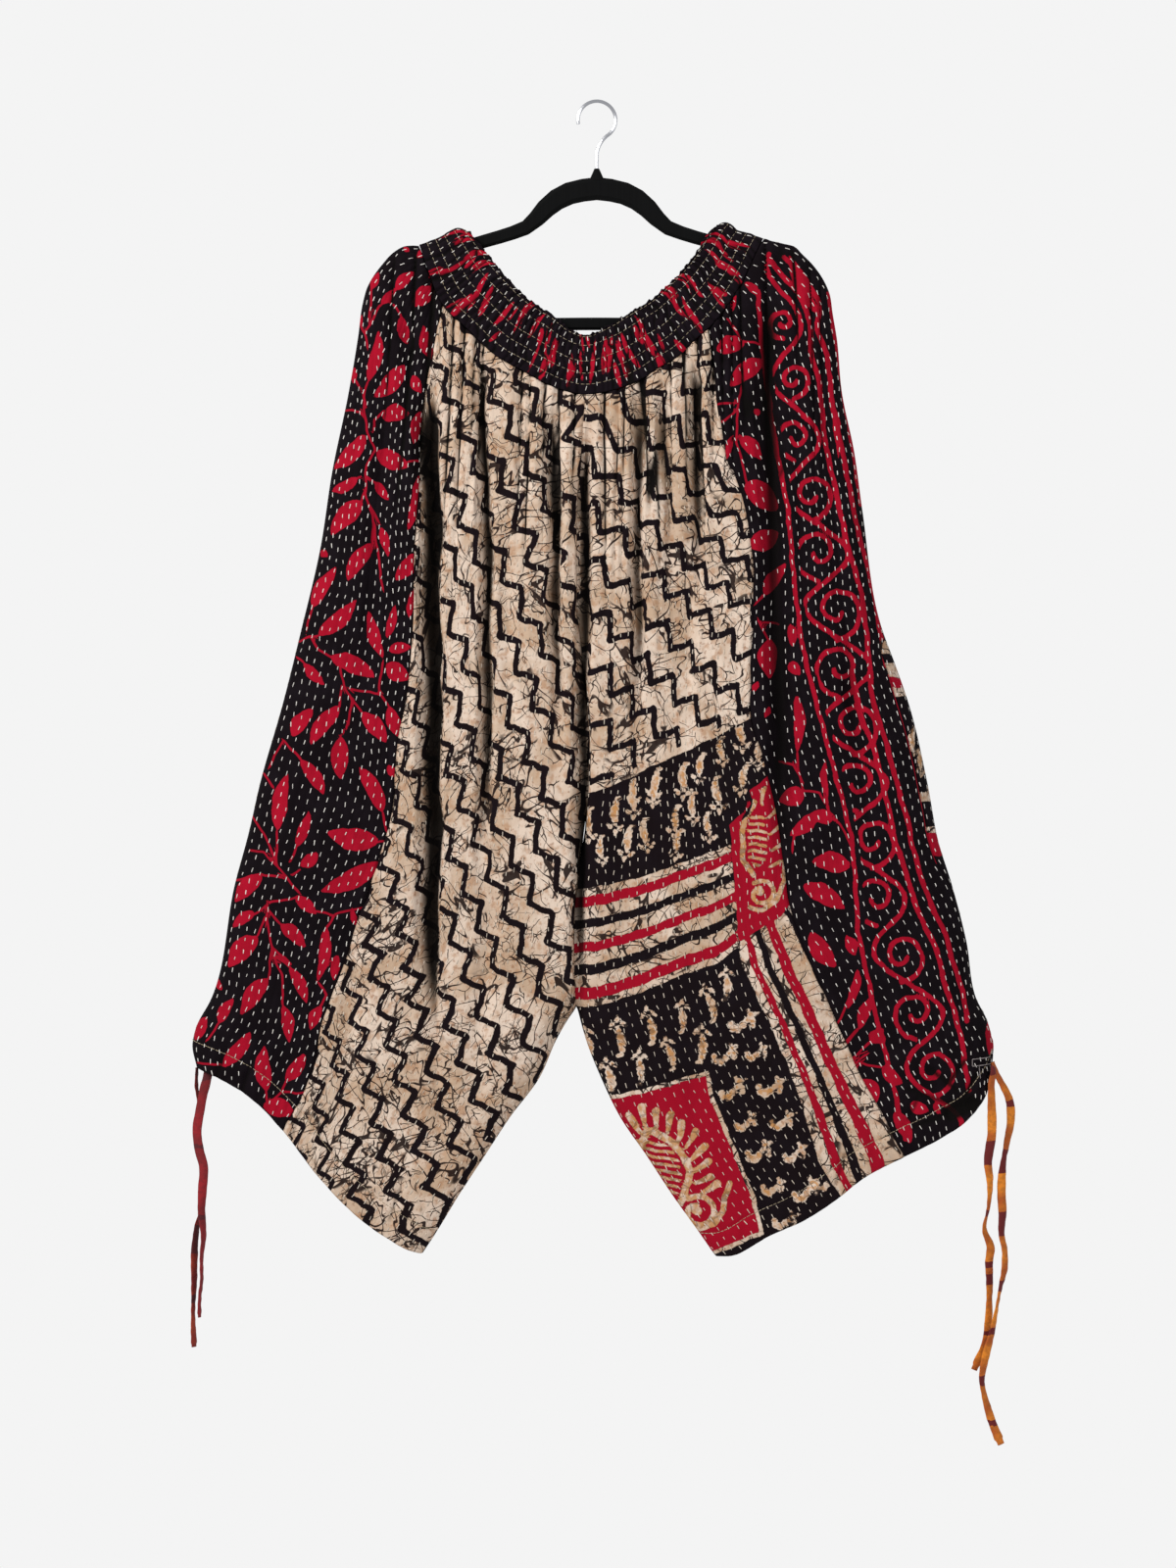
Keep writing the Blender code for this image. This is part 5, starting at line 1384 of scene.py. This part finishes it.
def build():
    groups = print_colours_group(), cotton_surface_group()
    finishes = {slot: printed_cotton(name, groups, **shades) for slot, name, shades in (
        ("zigzag_batik", "zigzag_batik_cotton", dict(ground=(22, 12, 14), puckers=0.32)),
        ("zigzag_batik_with_border", "zigzag_and_border_cotton",
         dict(ground=(20, 11, 14), red=(156, 11, 35), puckers=0.32)),
        ("leaf_print", "leaf_printed_cotton", {}),
        ("leaf_and_scroll_print", "leaf_and_scroll_printed_cotton", {}),
        ("gathered_band", "gathered_band_cotton", dict(ground=(17, 9, 15))),
    )}

    left_turn, left_loop, left_side = side_lines(LEFT_EDGE, LEFT_SHOULDER)
    right_turn, right_loop, right_side = side_lines(RIGHT_EDGE, RIGHT_SHOULDER)
    centre, left_inseam, right_inseam = [through(rows) for rows in (CENTRE_SEAM, LEFT_INSEAM, RIGHT_INSEAM)]
    crotch = stretch(joined(left_inseam[::-1], right_inseam), count=TURN_SAMPLES)
    edges = [left_turn, right_turn, (crotch, np.full(TURN_SAMPLES, INSEAM_TURN))]
    left_hem, right_hem = through(LEFT_HEM), through(RIGHT_HEM)
    left_part, right_part = where(left_hem, LEFT_SEAM[-1]), where(right_hem, RIGHT_SEAM[-1])

    made, left_sides, right_sides = {}, {}, {}
    for side, word, drop, left_size, right_size, band_size, seed in (
        (FRONT, "front", 0.0, (82, 400), (92, 450), (320, 46), 3),
        (BACK, "back", BACK_DROP, (50, 240), (50, 240), (180, 26), 13),
    ):
        top, foot = [lowered(through(rows), drop) for rows in (WAIST_TOP, WAIST_FOOT)]
        left, middle, right = [where(foot, rows[0]) for rows in (LEFT_SEAM, CENTRE_SEAM, RIGHT_SEAM)]
        left_seam, left_inner, right_seam, right_inner = [started_at(line, at(foot, mark)) for line, mark in (
            (through(LEFT_SEAM), left), (joined(centre, left_inseam), middle),
            (through(RIGHT_SEAM), right), (joined(centre, right_inseam), middle),
        )]
        for hand, slot, draw, waist, hem, seam, inner, size in (
            ("left", "zigzag_batik", zigzag_print,
             left, stretch(left_hem, left_part), left_seam, left_inner, left_size),
            ("right", "zigzag_batik_with_border", border_print,
             right, stretch(right_hem, right_part), right_seam, right_inner, right_size),
        ):
            key = f"{hand}_{word}_panel"
            place = patch(stretch(foot, waist, middle), hem, seam, inner)
            made[key] = make_panel(key, slot, finishes[slot], draw, place, size, side, edges, seed)
        left_sides[side] = patch(
            stretch(foot, 0.0, left), stretch(left_hem, 0.0, left_part), left_side, left_seam
        )
        right_sides[side] = patch(
            stretch(foot, 1.0, right), stretch(right_hem, 0.0, right_part), right_side, right_seam
        )
        key, slot, place = "waistband_" + word, "gathered_band", patch(top, foot, left_loop, right_loop)
        made[key] = make_band(key, slot, finishes[slot], place, band_size, side, edges[:2])

    # The left side panel wraps round its fold edge, and the right side's back one only reaches round it.
    def lip(v):
        """How much of the front's patch the back's side panel covers."""
        first, last = [right_sides[FRONT](0 * v + u, v) for u in (0, 1)]
        return read_off(SIDE_LIP, -first[:, 1]) / np.linalg.norm(last - first, axis=1)

    def beside_lip(u, v):
        """Places in the rest of the front's patch."""
        marks = np.linspace(0, 1, 201)
        reach = np.interp(v, marks, lip(marks))
        return right_sides[FRONT](reach + (1 - reach) * (1 - u) ** SIDE_EASE, v)

    for key, slot, draw, place, size, seed, more in (
        ("left_side_panel", "leaf_print", leaf_print, left_sides[FRONT], (64, 345), 5,
         dict(wrapped=(left_sides[BACK], np.ones_like, 32))),
        ("right_back_side_panel", "leaf_and_scroll_print", back_side_print, right_sides[FRONT], (6, 290), 7,
         dict(wrapped=(right_sides[BACK], lip, 40))),
        ("right_side_panel", "leaf_and_scroll_print", leaf_and_scroll_print, beside_lip, (74, 380), 9,
         dict(trim=(-0.56, -0.745), row_gap=0.0100)),
    ):
        made[key] = make_panel(key, slot, finishes[slot], draw, place, size, FRONT, edges, seed, **more)
    return made


def buttonhole(face, normal, seed):
    """The stitched slit at the right hem's corner, where the drawstring comes out, and its bars of thread."""
    low, high, left, right = -0.9418, -0.9350, 0.3652, 0.3845
    ring = [(left, high), (right, high + 0.0012), (right, low + 0.0012), (left, low), (left, high)]
    near, out = face.reshape(-1, 3), normal.reshape(-1, 3)
    parts = []
    for line in (ring, [(0.3720, low), (0.3735, low - 0.0120)], [(0.3838, low), (0.3846, low - 0.0100)]):
        path = stretch(np.array(line))[::30]
        gaps = np.hypot(path[:, None, 0] - near[:, 0], path[:, None, 1] - near[:, 2])
        index = np.argsort(gaps, axis=1)[:, :6]
        share = 1.0 / (np.take_along_axis(gaps, index, axis=1) + 1e-5)
        share = (share / share.sum(1, keepdims=True))[..., None]
        outward, depth = (out[index] * share).sum(1), (near[index] * share).sum(1)[:, 1]
        spots = np.stack([path[:, 0], depth, path[:, 1]], axis=1) + outward * 0.0003
        parts.append(line_stitches(
            spots, outward, pitch=0.0013, length=0.0015, width=0.0009, seed=seed, height=0.0005
        ))
    return together(parts)


def dress(obj, key=None):
    """Hangs a piece from the root, and hides the solid it stands for."""
    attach(obj, "root")
    if key:
        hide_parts(key)
    return obj


def stitch_panels(made):
    """The stitches of every panel."""
    white = thread("white_running_stitch", 236, 230, 220)
    beige = thread("pale_running_stitch", 222, 207, 188)
    cream = thread("cream_shirring_thread", 176, 160, 132)
    grey = thread("grey_buttonhole_thread", 150, 140, 138)
    base = stitch_shape()
    sewn = {}
    for key, (obj, face, normal, fold, up, wanted, slot) in made.items():
        rows, columns = face.shape[0] - 1, np.arange(face.shape[1], dtype=float)

        def along_row(row, **sizes):
            return line_stitches(sample(face, row, columns), sample(normal, row, columns), **sizes)

        if up is None:
            running = running_rows(
                face, normal, 0 * face[..., 0], wanted, 5,
                pitch=0.0102, length=0.0044, width=0.0008, least=0.0080,
            )
            lines = [
                along_row(0 * columns + mark * rows, pitch=0.0054, length=0.0038, width=0.00055, seed=number)
                for number, mark in enumerate(SHIRRING)
            ]
            seams = [("_shirring", together(lines), cream)]
        else:
            running = running_rows(face, normal, fold, wanted, len(key))
            row = np.array([np.interp(-HEM_CASING, -high, np.arange(rows + 1.0)) for high in up.T])
            casing = along_row(row, pitch=0.0042, length=0.0036, width=0.0007, seed=3)
            seams = [("_casing_stitch", casing, cream)]
        seams.append(("_running_stitch", running, beige if slot.startswith("zigzag") else white))
        seams = [(key + name, stitches, finish) for name, stitches, finish in seams]
        if key == "right_side_panel":
            seams.insert(0, ("right_buttonhole_stitch", buttonhole(face, normal, 4), grey))
        sewn[key] = [dress(tiled(name, base, stitches, finish)) for name, stitches, finish in seams]
        dress(obj, key)
    return sewn


def drawstrings():
    red = tape_cotton("red_tape_cotton", (150, 16, 26), (122, 18, 22), (84, 14, 22))
    rust = tape_cotton("rust_tape_cotton", (158, 52, 20), (118, 18, 18), (80, 14, 16))
    orange = tape_cotton("orange_tape_cotton", (230, 134, 28), (178, 82, 16), (104, 16, 14))
    for name, rows, marks, finish, slot in (
        ("left_drawstring_end_a", LEFT_TAPE_A, LEFT_BANDS_A, rust, "red_tape"),
        ("left_drawstring_end_b", LEFT_TAPE_B, LEFT_BANDS_B, red, "red_tape"),
        ("right_drawstring_end_a", RIGHT_TAPE_A, RIGHT_BANDS_A, orange, "orange_tape"),
        ("right_drawstring_end_b", RIGHT_TAPE_B, RIGHT_BANDS_B, orange, "orange_tape"),
    ):
        obj, route = make_tape(name + "_tape", rows, marks, finish)
        dress(obj, name)


def hard_pieces(frame):
    plastic = speckled(
        "black_flocked_plastic_finish", 900.0, None, (4, 4, 4), (12, 12, 12), Roughness=0.85,
        Specular_IOR_Level=0.12,
    )
    steel, _, _ = new_material(
        "bright_steel_finish", Base_Color=(0.62, 0.62, 0.64, 1.0), Metallic=1.0, Roughness=0.22
    )
    for key, finish in (("hanger", plastic), ("hanger_hook", steel)):
        materials = frame["nodes"][key].data.materials
        materials.clear()
        materials.append(finish)


# The studio


def make_camera():
    data = bpy.data.cameras.new("camera")
    camera = linked("camera", data)
    distance = 3.2
    camera.location = (-0.00864, -distance, -0.6672)
    camera.rotation_euler = (math.radians(90), 0, 0)
    data.sensor_width = 36.0
    data.sensor_fit = "AUTO"
    data.lens = 18.0 * distance / 0.768
    data.clip_end = 60.0
    bpy.context.scene.camera = camera


def light(name, place, towards, size, power, tint=(1.0, 1.0, 1.0)):
    data = bpy.data.lights.new(name, "AREA")
    data.shape = "DISK"
    data.size = size
    data.energy = power
    data.color = tint
    obj = linked(name, data)
    obj.location = place
    x, y, z = np.subtract(towards, place)
    obj.rotation_euler = (math.pi / 2 + math.atan2(z, math.hypot(x, y)), 0.0, math.atan2(y, x) - math.pi / 2)


def make_studio():
    bm = bmesh.new()
    bmesh.ops.create_circle(bm, cap_ends=True, segments=64, radius=1.2)
    bmesh.ops.translate(bm, vec=(0, 0, -1.75), verts=bm.verts[:])
    pale, _, _ = new_material("pale_floor", Base_Color=colour(236, 236, 236), Roughness=0.9)
    linked("floor", mesh_of(bm, "floor"), pale)

    world = bpy.data.worlds.new("studio")
    bpy.context.scene.world = world
    world.use_nodes = True
    tree = world.node_tree
    background = tree.nodes["Background"].inputs
    seen = add(tree, "LightPath")["Is Camera Ray"]
    put(tree, background["Color"], mixed(tree, seen, colour(240, 242, 246), colour(244, 244, 244)))
    put(tree, background["Strength"], maths(tree, "MULTIPLY_ADD", seen, 0.45, 0.55))
    light("key", (-2.1, -1.9, 1.1), (0, 0, -0.6), 1.0, 74.0)
    light("fill", (1.6, -2.9, 0.2), (0, 0, -0.7), 1.8, 24.0, (0.97, 0.98, 1.0))
    bpy.context.scene.view_settings.view_transform = "Standard"


def main():
    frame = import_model()
    make_camera()
    drawstrings()
    made = build()
    stitch_panels(made)
    hard_pieces(frame)
    make_studio()


main()
